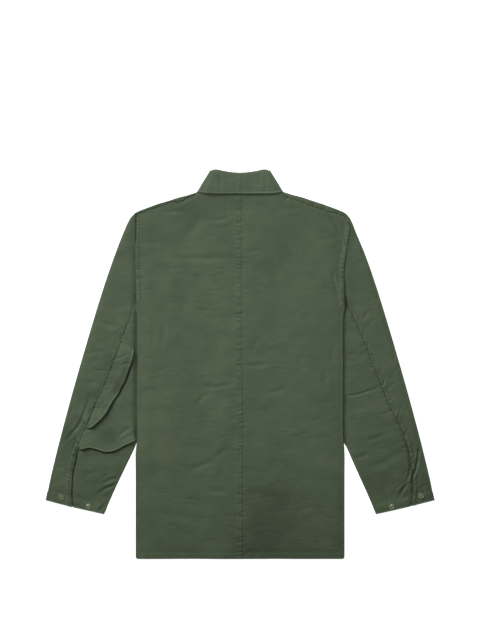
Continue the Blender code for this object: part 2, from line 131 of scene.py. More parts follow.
BY_BODY_Y = (108.0, 122.0)
UPPER_LAYER_Z = 1.3         # between a sleeve's two layers
UPPER_LEAST_Z = 1.5 * CLOTH + CLEAR
VENT_FROM = 0.905           # the vent's top, as a share of the sleeve seam's length
VENT_OPENS = 0.02
VENT_GAP = 0.9

SHOULDER = ((86.4, 362.4), (109.1, 355.1), (131.4, 348.8), (172.1, 336.2), (206.1, 323.6),
            (219.4, 317.7), (226.5, 311.0), (230.9, 304.7), (232.6, 301.5))
SEAM_DROP = {  # the shoulder seam lies this far under the outline, as (x, drop)
    "left": ((86.0, 6.0), (97.0, 5.5), (110.0, 6.0), (120.0, 10.0), (129.0, 10.5), (138.0, 7.0),
             (172.0, 7.4), (189.0, 6.5), (202.0, 7.5), (219.0, 5.0)),
    "right": ((86.0, 12.0), (102.0, 9.0), (118.0, 9.9), (137.0, 11.0), (152.0, 12.0), (186.0, 12.0),
              (201.0, 9.5), (213.0, 9.0), (228.0, 5.0), (232.6, 3.0)),
}
FRONT_NECK = ((-14.0, 290.0), (14.0, 290.0), (30.0, 294.0), (46.0, 302.0), (62.0, 315.0),
              (76.0, 334.0))
ARMHOLE_LINE = {  # where the back meets the sleeve, as (y, x)
    "left": ((110.0, 218.6), (134.0, 217.4), (176.0, 218.4), (214.0, 220.2), (250.0, 221.0), (290.0, 219.8),
             (317.7, 219.4)),
    "right": ((122.0, 219.2), (160.0, 217.8), (192.0, 217.2), (215.0, 219.4), (238.3, 223.0),
              (262.0, 227.4), (288.0, 231.4), (301.5, 232.6)),
}
SLEEVE_OUTER = {
    "left": ((220.0, 317.3), (230.9, 304.7), (243.7, 277.4), (269.1, 210.2), (296.8, 126.2),
             (346.2, -41.8), (382.1, -176.2), (408.0, -285.0)),
    "right": ((232.9, 301.0), (237.4, 292.1), (243.7, 277.4), (269.1, 210.2), (296.8, 126.2),
              (346.2, -41.8), (382.1, -176.2), (408.0, -285.0)),
}
SLEEVE_INNER = ((172.0, 72.0), (173.0, 0.0), (178.0, -50.0), (196.0, -120.0), (222.3, -176.2),
                (253.6, -243.4), (284.5, -314.8))
FRONT_SLEEVE_SEAM = ((219.5, 143.0), (240.0, 95.0), (252.0, 30.0), (258.0, -40.0), (266.0, -110.0),
                     (285.0, -200.0), (314.0, -307.2))
BACK_SLEEVE_SEAM = {
    "right": ((219.5, 143.0), (239.3, 96.8), (262.4, 44.3), (284.2, -12.4), (312.1, -82.5),
              (345.1, -155.2), (361.7, -234.4), (358.4, -297.8)),
    "left": ((219.5, 143.0), (231.1, 95.8), (242.0, 70.6), (255.9, 29.6), (263.9, 11.1), (273.1, -16.6),
             (293.3, -62.8), (305.9, -88.0), (319.3, -121.6), (335.6, -159.8), (342.4, -190.1),
             (350.0, -226.6), (352.5, -264.4), (351.2, -299.8)),
}
ARMHOLE_CORNER = (SLEEVE_EDGE_X, ARMHOLE_Y - 2.0)

COLLAR_SIDE_TOP = (59.4, 404.2)
COLLAR_SIDE_LOW = (86.5, 359.7)
COLLAR_SIDE_OUT = (0.858, 0.514)
FALL_TOP = ((0.0, 398.9), (12.6, 399.6), (25.0, 401.2), (37.7, 403.4), (46.0, 405.3), (53.5, 405.6),
            COLLAR_SIDE_TOP)
TOP_ROLL = 1.5              # the radius at which the fall folds over the stand
FALL_EDGE = ((0.0, 356.6), (40.0, 356.6), (70.0, 357.2), COLLAR_SIDE_LOW)
LEAF_TOP = (COLLAR_SIDE_TOP, (46.0, 366.0), (30.0, 345.0), (8.0, 330.0))
LEAF_EDGE = (COLLAR_SIDE_LOW, (76.0, 330.0), (62.0, 295.0), (48.0, 262.0))
STAND_SIDE_TOP = (60.6, 402.4)
STAND_SIDE_LOW = (84.6, 363.0)
STAND_BACK_TOP = ((0.0, 396.2), (19.0, 397.4), (39.0, 400.3), (59.0, 402.0))
STAND_BACK_LOW = ((0.0, 361.6), (28.0, 361.6), (56.0, 361.6), (83.1, 362.6))
STAND_FRONT_TOP = ((44.0, 366.0), (37.0, 356.0), (30.0, 348.0), (22.0, 341.0), (14.0, 335.5),
                   (4.0, 332.0))
STAND_FRONT_LOW_X = (76.0, 62.0, 46.0, 30.0, 14.0, 4.0)
STAND_FRONT_GAP = 0.8

# How fine the cloth's mesh is: steps in millimetres as (up to, step), and rows and columns as counts
BODY_STEP = 1.8
FINE_STEP = 1.5
FINE_HEM = 16.0
BACK_COLUMNS = ((20.0, 1.3), (202.0, 3.7), (HALF_BODY, 1.15))
BACK_TOP_ROWS = 42
FRONT_HEM = ((HEM_Y + 15.0, 2.5), (ARMHOLE_Y, 9.0))
FRONT_RISE = ((ARMHOLE_Y + 4.0, 1.0), (STRAIGHT_TOP_Y, 9.0))
FRONT_COLUMNS = ((LAP + 6.0, 2.5), (76.0, 4.0), (NECK_CORNER_X, 4.0), (HALF_BODY, 1.7))
FRONT_TOP_ROWS = 14
SEAM_ROWS = 9
SLEEVE_MESH = ((0.0, 0.06, 16), (0.06, 0.93, 275), (0.93, 1.0, 28))     # from share, to share, rings
ACROSS_SLEEVE = ((0.12, 0.014), (0.9, 0.024), (1.0, 0.018))
LOWER_COLUMNS = 12
ARC_STEPS = 6
FOLD_SHARES = [step / ARC_STEPS for step in range(1, ARC_STEPS)]
EDGE_PASSES = 4             # rounds in which a sheet's places and its edges settle on each other

# Seams: the folded-over band that rows of stitches hold, and where the rows lie in it
CENTRE_BAND = 11.6
CENTRE_TUCK = 0.3
CENTRE_RISE = 0.2
CENTRE_DRAWN_AT = 5.0       # the middle of a seam's gathers, this far from its edge
ARMHOLE_DRAWN_AT = 4.0
SLEEVE_DRAWN_AT = 4.5
DITCH_X = 2.6               # the centre seam's folded edge, which shifts sideways going down
DITCH_SHIFT = 3.0
DITCH_SHIFT_Y = (60.0, -60.0)
CENTRE_ROWS = (3.6, 10.4)
ARMHOLE_BAND = 9.0
ARMHOLE_RISE = 1.2
ARMHOLE_ROWS = (1.6, 8.0)
SLEEVE_BAND = {"left": 10.5, "right": 8.5}
SLEEVE_ROWS = {"left": (1.8, 9.0), "right": (1.6, 7.4)}
SLEEVE_RISE = 0.45
VENT_RISE = {"left": 1.8, "right": 0.7}     # how much higher the band stands by the vent
UNDER_SINK = {"left": 0.6, "right": 1.2}    # how far the under sleeve's edge sinks beside it
UNDER_SINK_AT_VENT = 0.6
UNDER_SINK_WIDTH = 3.0
VENT_CALMS = 0.8            # the share of a seam's gathers that its vent takes away
BAND_FULL_FROM = 0.03
BAND_FROM = (-1.6, -0.6)    # where a band rises, from its seam, and where it comes down, from its width
BAND_TO = (-0.8, 1.2)
ROW_SINK = 0.35
ROW_WIDTH = 0.9
HEM_DEPTH = 13.0
HEM_CORNER = 4.5
HEM_ROW = HEM_DEPTH - 1.5
CUFF_DEPTH = 19.0
CUFF_ROWS = (CUFF_DEPTH - 1.2, 4.0)
CUFF_ACROSS = 60.0
CUFF_EDGE_AT = 3.0
HEM_RISE = 0.5
EDGE_SOFT = 0.8             # half the width over which a hem or band steps down
LEAF_ROW = 5.0
FALL_ROW = 5.0
STITCH_PITCH = 3.0
PITCH_BELOW = 4.2
STITCH_LENGTH = 2.1
STITCH_WIDTH = 0.55
THREAD_THICK = 0.2

# The cloth that stitches draw up along a seam, as short troughs across it
GATHERS = {
    # seed, what a side of -1 or 1 adds to it per unit, depth, reach across the seam, pitch, width
    "centre": (11, 0, 1.15, 7.0, 7.6, 2.0),
    "centre, long": (12, 0, 0.4, 16.0, 19.0, 4.0),
    "armhole": (17, 1, 0.8, 9.0, 7.6, 1.9),
    "armhole, long": (27, 1, 0.5, 14.0, 27.0, 5.0),
    "shoulder": (23, 1, 0.8, 7.0, 6.6, 1.8),
    "shoulder fold": (51, 1, 0.7, 7.0, 6.6, 1.8),
    "shoulder band": (53, 1, 0.9, 7.0, 6.6, 1.8),
    "hem": (29, 0, 0.4, 6.0, 9.0, 2.4),
    "label": (31, 0, 0.75, 4.5, 7.0, 1.8),
    "left sleeve": (61, 4, 1.4, 7.0, 5.6, 1.6),
    "right sleeve": (61, 4, 0.9, 7.0, 5.6, 1.6),
    "sleeve, long": (62, 4, 0.5, 16.0, 24.0, 4.5),
    "under sleeve": (63, 4, 0.75, 8.0, 7.2, 1.9),
    "under sleeve, long": (64, 4, 0.6, 17.0, 22.0, 4.5),
    "cuff": (65, 4, 0.5, 8.0, 8.5, 2.4),
    "cuff edge": (66, 4, 0.35, 4.0, 6.0, 1.6),
    "sleeve head": (67, 4, 0.6, 8.0, 7.6, 1.9),
    "collar": (93, 0, 0.22, 14.0, 9.5, 2.6),
}

GATHER_SPACING = (0.55, 1.5)                # each is a range of shares of the seam's own value
GATHER_DEPTHS = (0.3, 1.35)
GATHER_REACHES = (0.45, 1.5)
GATHER_WIDTHS = (0.75, 1.35)
GATHER_SLANTS = (-0.3, 0.3)
GATHER_MARGIN = 3.2

# How much paler a seam is: rubbed paler along it, and more so on what stands up between its gathers, which
# is painted highlight, with painted shade in their troughs
RUBBED_AND_SHADED = {
    # amount, distance from the seam, half width, share where flat, gain with the gathers, least share
    "centre": (0.45, 5.5, 5.0, 0.7, 1.8, -0.6),
    "armhole": (1.0, 4.6, 3.6, 0.85, 1.5, -0.5),
    "shoulder": (1.0, 3.0, 3.5, 0.8, 1.4, 0.0),
    "left sleeve": (0.4, 4.8, 4.2, 0.8, 1.8, -1.0),
    "right sleeve": (0.6, 4.8, 4.2, 0.8, 1.8, -1.0),
    "cuff": (0.7, 0.0, 3.0, 0.9, 1.2, 0.0),
}

# Bands along a line: raised or sunk ones, and paler or darker ones. Columns: amount, distance, half width
CENTRE_SWELL = ((0.35, 5.0, 7.0),)
# painted light just past each row of the centre seam's stitches, and painted shade just before it
CENTRE_ROW_LIGHT_AND_SHADE = tuple(band for row in CENTRE_ROWS
                     for band in ((0.3, row + 1.3, 0.9), (-0.25, row - 0.6, 0.8)))
ARMHOLE_RIDGE = ((0.8, 6.6, 1.2), (-0.7, 8.9, 1.1))
# painted shade along the armhole band's edge, and painted light and shade beside the sunk band's ridge
ARMHOLE_EDGE_SHADE = ((-0.8, 0.0, 1.2),)
ARMHOLE_RIDGE_LIGHT_AND_SHADE = ((0.35, 6.2, 1.1), (-0.35, 2.6, 2.0))
# painted shade below the shoulder seam on the left, more beside the collar
SHOULDER_SHADE = ((-0.25, 2.0, 3.0),)
SHOULDER_SHADE_BY_COLLAR = ((-1.0, 0.8, 2.8),)
HEM_ROWS_RELIEF = ((-0.4, HEM_ROW, ROW_WIDTH),)
HEM_TONES = ((0.25, 0.0, 2.2), (0.15, HEM_DEPTH - 1.0, 2.0))
LABEL_RELIEF = ((-0.45, 0.0, 0.9),)
LABEL_TONES = ((0.4, -1.2, 1.4),)
SIDE_TONES = ((0.35, 0.0, 2.0),)
CUFF_RELIEF = ((-0.4, CUFF_ROWS[0], ROW_WIDTH), (-0.35, CUFF_ROWS[1], ROW_WIDTH))
CUFF_TONES = ((0.12, CUFF_DEPTH - 1.0, 2.5),)
HEAD_RIDGE = ((1.4, 4.6, 1.6), (-1.0, 1.2, 1.4))
# painted shade at a sleeve's edge beside the body's band, and a painted highlight on the ridge high up
# beside it
HEAD_EDGE_SHADE = ((-0.8, 0.0, 1.5),)
HEAD_RIDGE_HIGHLIGHT = ((0.25, 1.8, 1.3),)
HEAD_DITCH = ((2.3, 0.0, 26.0), (-1.3, 0.0, 3.5))
FRONT_EDGE_TONES = ((0.4, -LAP, 2.0),)
FRONT_HEM_TONES = ((0.4, 0.0, 2.2),)

# Soft unevenness. Columns: depth, stretch of x, size, seed
BACK_WAVES = ((0.45, 0.8, 80.0, 3), (0.25, 0.6, 27.0, 4))
SLEEVE_WAVES = {"left": ((0.45, 1.0, 62.0, 40), (0.2, 1.0, 24.0, 43)),
                "right": ((0.45, 1.0, 62.0, 42), (0.2, 1.0, 24.0, 45))}

NOISE_WAVES = 9
NOISE_SIZES = (0.7, 1.6)

# Scattered small creases: the box that they lie in (x0, y0, x1, y1), their number, their seed and their lean
SMALL_CREASES = {
    "back": ((-HALF_BODY, HEM_Y, HALF_BODY, 345.0), 330, 77, 0.0),
    "left": ((-410.0, -310.0, -190.0, 320.0), 170, 80, -0.25),
    "right": ((190.0, -310.0, 410.0, 320.0), 170, 82, 0.25),
}
SMALL_LENGTH = (6.0, 17.0)
SMALL_WIDTH = (1.8, 3.6)
SMALL_DEPTH = (0.14, 0.5)
SMALL_TURN = 0.45           # how far their directions spread
SMALL_BOW = 0.15
SMALL_BANK = 0.35
SMALL_BANK_AT = 1.9
SMALL_MARGIN = 3.0

# The body's side and its fullness
BODY_EASE = 1.8             # the fine back lies this much fuller than its solid, so that creases have room
BODY_EASE_OVER = (30.0, 25.0)               # from the side and from the hem
CALM_SIDE = 14.0            # the back's unevenness starts this far from its side
SIDE_ROLL = {"left": (1.1, 9.0), "right": (1.8, 3.5)}       # depth and reach
TOP_EASE = 0.6
TOP_EASE_OVER = 14.0
SUNK_ABOVE_Y = (238.0, 262.0)               # up here the left armhole's band is sunk, with a ridge beside it
BAND_SUNK = 0.9
LESS_PALE = 0.7
PALER = {"left": 0.45, "right": 0.9}
SHOULDER_PALER = {"left": -0.15, "right": 0.35}
FOLDED_EDGE_PALER = 0.25     # of a sleeve, and over how much of it beside the fold
FOLDED_EDGE_OVER = 3.0
EDGE_CALM = 0.2             # the share of its relief that a sleeve keeps at its folded edge
EDGE_CALM_OVER = 9.0
TONE_RANGE = (-0.9, 1.0)

# Where the body's columns follow the centre seam, and the fronts fold over the shoulders
CENTRE_REACH = 40.0
TURNED_COLUMNS = {"back": 6, "front": 8}
FOLD_PALER = {"body": 0.3, "sleeve": 0.2}
SHOULDER_FROM_X = (84.0, 98.0)
BY_COLLAR_X = (118.0, 142.0)
NEAR_NECK_X = (120.0, 160.0)
SHADE_DEPTH = 0.5           # below the shoulder's roll the back is low: how low, and where lower
SHADE_NEAR_NECK = 0.7
SHADE_BY_COLLAR = 1.2
SHADE_WIDTH = 2.0
SHADE_WIDER = 3.0
DRAWN_SHARE = 0.9
SHOULDER_LENGTH = 230.0
ARMHOLE_LENGTH = 200.0
LEFT_SHOULDER_LOW = 0.9
LEFT_SHOULDER_X = (140.0, 175.0)
SHOULDER_PUFF = 1.1
SHOULDER_PUFF_BASE = -0.25
PUFF_SHARES = (0.12, 0.8)   # the roll's share of a half wave: its first one, and how many more
PUFF_POWER = 0.7
FOLD_DRAWN_IN = 0.3
BAND_DRAWN = 0.8
BAND_GATHER_SHADE = 1.1
FOLD_TONE_RANGE = (-0.5, 1.0)
BAND_TONE_RANGE = (-0.6, 1.0)
SHOULDER_FOLD_TONE = {"left": -0.1, "right": 0.5}
SHOULDER_BAND_TONE = {"left": -0.2, "right": 0.35}

# How a sleeve's upper layer lies beside the body, its vent and its armhole
OUT_OF_BODY = (-4.0, 6.0)
NEAR_VENT = (0.70, 0.77)
BESIDE_BODY = {"left": (2.8, 45.0), "right": (-2.9, 22.0)}      # full or low, and how far that reaches
HEAD_LOW = (2.4, 4.5)       # on the left, low down: depth and reach
WALL_CLAMP = 0.9

# The collar's mesh and form
FALL_MESH = ((0.0, 0.76, 26), (0.76, 1.0, 14))
FALL_COLUMNS = 60
LEAF_COLUMNS = 26
STAND_ROWS = 12
FALL_HEIGHT = 45.0
FALL_CROWN = 1.6
FALL_EDGE_CROWN = 3.8
TOP_ROLL_SHARES = (1.0, 0.8, 0.6, 0.4, 0.2)
END_STEPS = (0.82, 1.0)     # over these shares of its half, the fall's crown comes down
END_CROWN = 0.25            # to this share
COLLAR_HALF = 100.0
COLLAR_DRAWN_AT = 4.0
COLLAR_WAVES = ((0.2, 3.0, 30.0, 91),)
COLLAR_WAVES_UP = 0.35
RIPPLE_BASE = 1.2
RIPPLE_REACH = 42.0
RIPPLE_SHADING = 0.15
RIM_RISE = 0.6
RIM_SLOPE = (0.2, 3.4)
RIM_HIGHLIGHT = 0.1
RIM_HIGHLIGHT_MORE = 0.6         # the painted highlight is stronger towards the right
RIM_HIGHLIGHT_X = (-25.0, 45.0)
RIM_RELIEF = ((-0.35, 4.6, 1.1),)
RIM_HIGHLIGHT_TONES = ((1.0, 1.8, 2.4),)
FOLD_TOP_TONES = ((0.3, 0.0, 0.04),)

CREASE_GAIN = 1.35
CREASE_BANK = 0.2           # the banks beside a crease rise by this share of its depth
CREASE_BANK_AT = 2.1        # and lie this many half widths from it
CREASE_MARGIN = 4.0
CREASE_LIT = 1.3            # a sleeve's crease that is deeper than this gets painted shade in its depth
CREASE_SHADE = 0.32

# Where a label is sewn on inside, below the collar: its stitches show through
LABEL_CENTRE = (-6.7, 333.0)
LABEL_HALF = (19.2, 20.6)
LABEL_RISE = 0.3
LABEL_SOFT = 1.0
LABEL_FADES = (0.0, 5.0)
LABEL_Y = 400.0             # its gathers are drawn from y = 0 up to here


def photo(px, py):
    """The place on the garment that the photograph shows at this pixel."""
    return ((px - PHOTO_X0) * PHOTO_MM, (PHOTO_Y0 - py) * PHOTO_MM)


# The creases of what shows, traced one by one: soft troughs (depth above 0) and ridges (below 0)
CREASES = (
    # sheet, depth, half width, the line in the photograph's pixels
    ("back", 1.1, 6.0, (168, 257.5), (200, 259), (232.7, 258)),
    ("back", 0.9, 9.0, (202, 219), (194, 228), (183.6, 239)),
    ("back", 0.9, 4.5, (211, 219), (221, 220.5), (229.6, 218)),
    ("back", -0.7, 4.0, (212, 223.5), (221, 224.5), (230, 222.5)),
    ("back", 0.9, 5.5, (143.6, 242), (151, 243.5), (159, 243.7)),
    ("back", 0.9, 5.0, (166.5, 213), (175, 212), (184, 212)),
    ("back", 0.6, 6.0, (187, 219), (197, 221), (208, 222)),
    ("back", 0.5, 5.0, (176, 273), (183, 275), (190, 276)),
    ("back", 0.8, 4.5, (281.4, 208.4), (291, 209.5), (300, 209)),
    ("back", 2.4, 2.8, (329.8, 214.4), (332, 219.4), (335.3, 223.8), (337.5, 228.7), (337.5, 232)),
    ("back", 0.6, 4.0, (242, 251.4), (251, 251.8), (260.4, 250.7)),
    ("back", 0.5, 6.0, (312.6, 239), (325, 240), (337, 239)),
    ("back", 1.9, 2.6, (334.5, 272.6), (332.9, 276), (333.4, 281), (336.9, 289.9), (337.5, 297)),
    ("back", 0.9, 4.0, (245, 365), (257, 365.5), (269.6, 363.5)),
    ("back", 0.9, 4.0, (202, 386.5), (217, 386.5), (232.7, 383.4)),
    ("back", 0.9, 4.0, (197, 405), (202, 398), (208, 394)),
    ("back", 0.7, 4.5, (266.5, 392.6), (277, 391), (288, 386.5)),
    ("back", 0.7, 5.0, (323, 365), (324.5, 377), (325, 389.6)),
    ("back", 0.7, 5.0, (332.5, 346.6), (331.5, 356), (329.5, 365)),
    ("back", 1.0, 4.0, (163.6, 325), (163.8, 336), (162, 346.6)),
    ("back", 0.5, 4.0, (153.5, 331), (154, 340), (153, 352)),
    ("back", 0.5, 5.0, (291, 437), (300, 435), (309.5, 431)),
    ("back", 0.9, 5.0, (226.6, 448), (221, 453), (214.3, 457)),
    ("back", 0.9, 5.0, (189.7, 469.4), (202, 465), (214.3, 460)),
    ("back", 0.8, 5.0, (208, 489.4), (217, 491), (226.6, 491)),
    ("back", 0.7, 9.0, (245, 491), (258, 493), (272.6, 495.5), (288, 500)),
    ("back", 0.5, 5.0, (297, 509.4), (306, 508), (314, 504.8)),
    ("back", 0.5, 5.0, (245, 468), (251, 469.5), (257, 469)),
    ("back", 0.7, 7.0, (222, 460), (224, 468), (219, 478)),
    ("back", 0.6, 6.0, (251, 352), (255, 344), (262, 338)),
    ("back", 0.5, 8.0, (150, 508), (175, 516), (205, 518)),
    ("left", 0.9, 4.5, (103.9, 323.6), (111, 325.6), (118, 326.8)),
    ("left", 0.9, 4.5, (88, 352.7), (99, 352), (108.6, 350.4)),
    ("left", 0.8, 4.0, (88.1, 381.4), (93, 382.5), (97.6, 382.2)),
    ("left", 1.5, 3.0, (90, 397), (86, 409), (79.5, 424.5), (72.5, 433), (65, 442.5)),
    ("left", 1.2, 2.4, (95.5, 408), (92, 416), (88.5, 424)),
    ("left", 1.0, 2.0, (76.5, 438.5), (75, 445), (73.3, 452)),
    ("left", 2.3, 4.6, (128.6, 361), (127.4, 368), (125.8, 374), (121.8, 382), (118.4, 388),
     (113.6, 394.6), (107.6, 401)),
    ("left", 0.7, 2.2, (114.4, 359.6), (121, 357.6), (128.6, 354)),
    ("left", 1.0, 2.4, (122.5, 365), (126, 363.4), (129.6, 362)),
    ("left", 1.1, 3.5, (119.6, 477.3), (111.7, 478.9), (103.9, 483.6)),
    ("left", 1.9, 3.0, (118, 484), (110, 486.5), (104, 489.5), (97.5, 495.3)),
    ("left", -0.3, 3.0, (119, 480.5), (111, 482.6), (104, 486)),
    ("left", 2.0, 3.2, (107, 503.6), (103, 507), (99.4, 511)),
    ("left", 0.9, 3.5, (132, 426), (126, 430), (119.6, 437)),
    ("left", -0.8, 3.0, (131, 431), (124, 435.5), (118, 441)),
    ("right", 1.0, 2.4, (344, 395.6), (354, 395), (363.6, 392.4), (377.7, 387.7)),
    ("right", 0.6, 3.0, (387, 389), (390, 386), (393.5, 383)),
    ("right", 0.9, 4.5, (365, 439.6), (376, 437.6), (387, 433.3)),
    ("right", 0.9, 7.0, (365, 466), (381, 463), (393.5, 455), (407.6, 450.6)),
    ("right", 0.8, 4.0, (352.6, 458.5), (361, 456.5), (368.3, 452)),
    ("right", 0.5, 7.0, (382.5, 475.8), (385, 485), (387, 494.6)),
    ("right", 1.8, 2.4, (419.6, 443), (417.8, 454), (416.6, 463), (412.3, 478), (410.5, 484)),
    ("right", 1.2, 2.3, (406, 455), (409.6, 464), (408.4, 474), (405.5, 482)),
    ("right", 0.9, 2.6, (402.9, 486.8), (401, 491), (400.6, 494.6)),
    ("right", 2.2, 2.4, (406.4, 484), (403, 488.6), (400.4, 492), (399.4, 496)),
    ("right", 2.2, 2.8, (344.2, 296), (345.6, 301), (348, 306)),
    ("right", 0.8, 3.5, (362, 318), (365, 316), (368, 312)),
    ("right", 0.6, 3.5, (346, 354), (351, 354.6), (356, 354)),
)

# Painted light, which makes the colour paler (above 0), and painted shade, which makes it darker: the place
# and reach in the photograph's pixels
PAINTED_LIGHT_AND_SHADE = (
    # amount, centre, reach across, reach along
    (-0.50, (268, 537), 42, 42),
    (0.20, (155, 425), 26, 45),
    (-0.38, (111, 367), 8, 15),
    (-0.60, (124.5, 370), 3.5, 10),
    (-0.45, (118, 386), 3.5, 7),
    (-0.90, (76.3, 454), 1.5, 7),
    (-0.50, (73.3, 472), 1.2, 12),
    (-0.35, (131, 352), 6, 10),
    (-0.40, (69, 437), 8, 12),
    (-0.35, (91, 397), 8, 10),
    (-0.45, (110, 437), 10, 9),
    (0.18, (84, 365), 12, 24),
    (0.40, (62, 478), 14, 9),
    (-0.40, (190, 214), 16, 12),
    (-0.20, (160, 240), 20, 10),
    (0.14, (338, 370), 4, 60),
    (-0.18, (350, 350), 5, 70),
    (-0.22, (350, 272), 6, 22),
    (-0.75, (345.5, 302), 2.2, 3.5),
    (-0.20, (350, 236), 5, 12),
    (-0.30, (190, 178), 12, 9),
    (0.30, (272, 177), 12, 9),
    (-0.25, (226, 201), 20, 9),
    (0.30, (326, 464), 17, 12),
    (0.30, (342, 468), 7, 12),
    (0.22, (384, 405), 18, 26),
    (0.30, (391, 357), 9, 14),
    (0.10, (414, 465), 9, 30),
    (0.25, (370, 310), 9, 30),
    (-0.25, (280, 495), 24, 10),
    (-0.16, (141, 258), 14, 45),
    (0.20, (67.5, 498.5), 3.5, 5),
)

# The folds of the left sleeve's elbow: the cloth on the right of the line, going along it, is the higher
ELBOW_FOLDS = (
    # rise, lean over the lower cloth, how far the rise dies away, shares over which it fades in and out
    (6.6, 6.4, 15.0, (0.05, 0.07), (134.9, 347.5), (132.6, 353.5), (130.8, 360.5), (127.6, 369.3),
     (123.6, 381), (121.2, 385), (117.2, 393), (112.4, 399.4), (109.2, 405), (105.6, 411.6), (99.6, 418.6),
     (93, 424.4), (86, 429.2)),
    (5.6, 6.2, 14.0, (0.02, 0.06), (142, 436), (135.6, 438.9), (125.2, 443.3), (115, 448.6), (106, 449.9),
     (97, 447.3), (89.7, 445.8), (83.5, 447.2), (78.5, 449)),
)
FOLD_SHADE = 1.15
FOLD_PATH = 60              # points along a fold's line
FOLD_SWELL = 3.4            # a fold rises to its full height over this distance
FOLD_ROLL = 7.5             # and leans over the lower cloth up to this one
FOLD_TROUGH = ((-2.2, -4.0, 3.0),)
# painted shade on the lower cloth beside a fold, and a painted highlight along its edge
FOLD_SHADE_AND_HIGHLIGHT = ((1.0, -4.0, 2.2), (-0.65, 4.3, 1.3))
FOLD_NEAR = (-12.0, 6.0)    # the cloth that is made finer beside a fold, and how much finer
FOLD_CUTS = 2
FOLD_FACES_X = HALF_BODY - 4.0
FOLD_FADES_X = (HALF_BODY - 2.0, HALF_BODY + 3.5)


# ---------------------------------------------------------------- numbers and curves

def ramp(start, end, value):
    """0 at start, 1 at end, and level at both."""
    share = np.clip((np.asarray(value, float) - start) / (end - start), 0.0, 1.0)
    return share * share * (3.0 - 2.0 * share)


def slope_down(ends, value):
    return 1.0 - ramp(*ends, value)


def points_of(*axes):
    """Joins coordinates, each a number or an array, into places."""
    return np.stack(np.broadcast_arrays(*axes), axis=-1)


def bell(value, width):
    """1 at 0, and soon 0 past the width on both sides."""
    return np.exp(-(value / width) ** 2)


def bells(distance, rows):
    """A sum of soft bands along a line: each row is (amount, distance from the line, half width)."""
    return sum(amount * bell(distance - place, width) for amount, place, width in rows)


def value_at(table, x):
    """The straight-line value of a table of (x, value) at x, level past its ends."""
    places, values = zip(*table)
    return np.interp(x, places, values)


def along(points, shares):
    """A smooth curve through the points: its places at these shares of its length, as (n, 2)."""
    points = np.array(points, float)
    runs = np.hypot(*np.diff(points, axis=0).T)
    lengths = np.concatenate([[0.0], np.cumsum(runs)])
    place = np.atleast_1d(shares) * lengths[-1]
    span = np.clip(np.searchsorted(lengths, place + 1e-9, side="right") - 1, 0, len(points) - 2)
    width = runs[span]
    t = ((place - lengths[span]) / width)[:, None]
    index = np.arange(len(points))
    before, after = np.maximum(index - 1, 0), np.minimum(index + 1, len(points) - 1)
    slopes = (points[after] - points[before]) / (lengths[after] - lengths[before])[:, None]
    start, end = points[span], points[span + 1]
    start_slope, end_slope = slopes[span] * width[:, None], slopes[span + 1] * width[:, None]
    return ((2 * t ** 3 - 3 * t ** 2 + 1) * start + (t ** 3 - 2 * t ** 2 + t) * start_slope
            + (3 * t ** 2 - 2 * t ** 3) * end + (t ** 3 - t ** 2) * end_slope)


def length_of(points):
    """The length of the straight runs between the points."""
    return float(np.hypot(*np.diff(np.array(points, float), axis=0).T).sum())


def units(vectors):
    return vectors / np.maximum(np.linalg.norm(vectors, axis=-1, keepdims=True), 1e-9)


def line_field(line, x, y):
    """For each (x, y): its signed distance from a smooth line, left of it being above 0, and its share."""
    path = along(line, np.linspace(0.0, 1.0, 8 * len(line)))
    best = np.full(np.shape(x), np.inf)
    signed, share = np.zeros(np.shape(x)), np.zeros(np.shape(x))
    count = len(path) - 1
    for index in range(count):
        (x0, y0), (x1, y1) = path[index], path[index + 1]
        run_x, run_y = x1 - x0, y1 - y0
        t = np.clip(((x - x0) * run_x + (y - y0) * run_y) / (run_x ** 2 + run_y ** 2), 0.0, 1.0)
        away_x, away_y = x - x0 - t * run_x, y - y0 - t * run_y
        distance = np.hypot(away_x, away_y)
        nearer = distance < best
        best = np.where(nearer, distance, best)
        side = np.sign(run_x * away_y - run_y * away_x)
        signed = np.where(nearer, distance * side, signed)
        share = np.where(nearer, (index + t) / count, share)
    return signed, share


def smooth_noise(x, y, size, seed):
    """Soft unevenness of about this size, from -1 to 1: a few waves in random directions."""
    source = np.random.default_rng(seed)
    total = np.zeros(np.shape(x))
    for _ in range(NOISE_WAVES):
        angle, phase = source.uniform(0.0, 2.0 * math.pi, 2)
        wave = size * source.uniform(*NOISE_SIZES)
        total += np.sin((x * math.cos(angle) + y * math.sin(angle)) * 2.0 * math.pi / wave + phase)
    return total / math.sqrt(NOISE_WAVES)


def gathers(name, s, d, length, side=0.0):
    """Short uneven troughs across a seam, at s along it and d away: the cloth that its stitches draw up."""
    seed, seed_by_side, depth, reach, pitch, width = GATHERS[name]
    source = np.random.default_rng(seed + seed_by_side * int(side))
    s, d = np.broadcast_arrays(s, d)
    total = np.zeros(s.shape)
    near = np.abs(d) < GATHER_MARGIN * reach
    s_near, d_near = s[near], d[near]
    drawn = np.zeros(s_near.shape)
    place = -pitch
    while place < length + pitch:
        place += pitch * source.uniform(*GATHER_SPACING)
        slant, size = source.uniform(*GATHER_SLANTS), depth * source.uniform(*GATHER_DEPTHS)
        far, wide = reach * source.uniform(*GATHER_REACHES), width * source.uniform(*GATHER_WIDTHS)
        off = (s_near - place - slant * d_near) / wide
        drawn -= size * np.exp(-np.minimum(off ** 2, 40.0) - (d_near / far) ** 2)
    total[near] = drawn
    return total


# ---------------------------------------------------------------- heights of the layers

def tuck_lift(x, y):
    """What the sleeve that is tucked under the body's side adds to the height."""
    sleeve = HIDDEN_SLEEVE * ramp(*TUCK_SLOPE_X, x) * slope_down(SLEEVE_SLOPE_Y, y)
    return sleeve * slope_down(SIDES_SLOPE_Y, y)


def side_lift(x, y):
    """What the turned side adds to it."""
    return SIDE_TURN * ramp(*TURN_SLOPE_X, x) * slope_down(SIDES_SLOPE_Y, y)


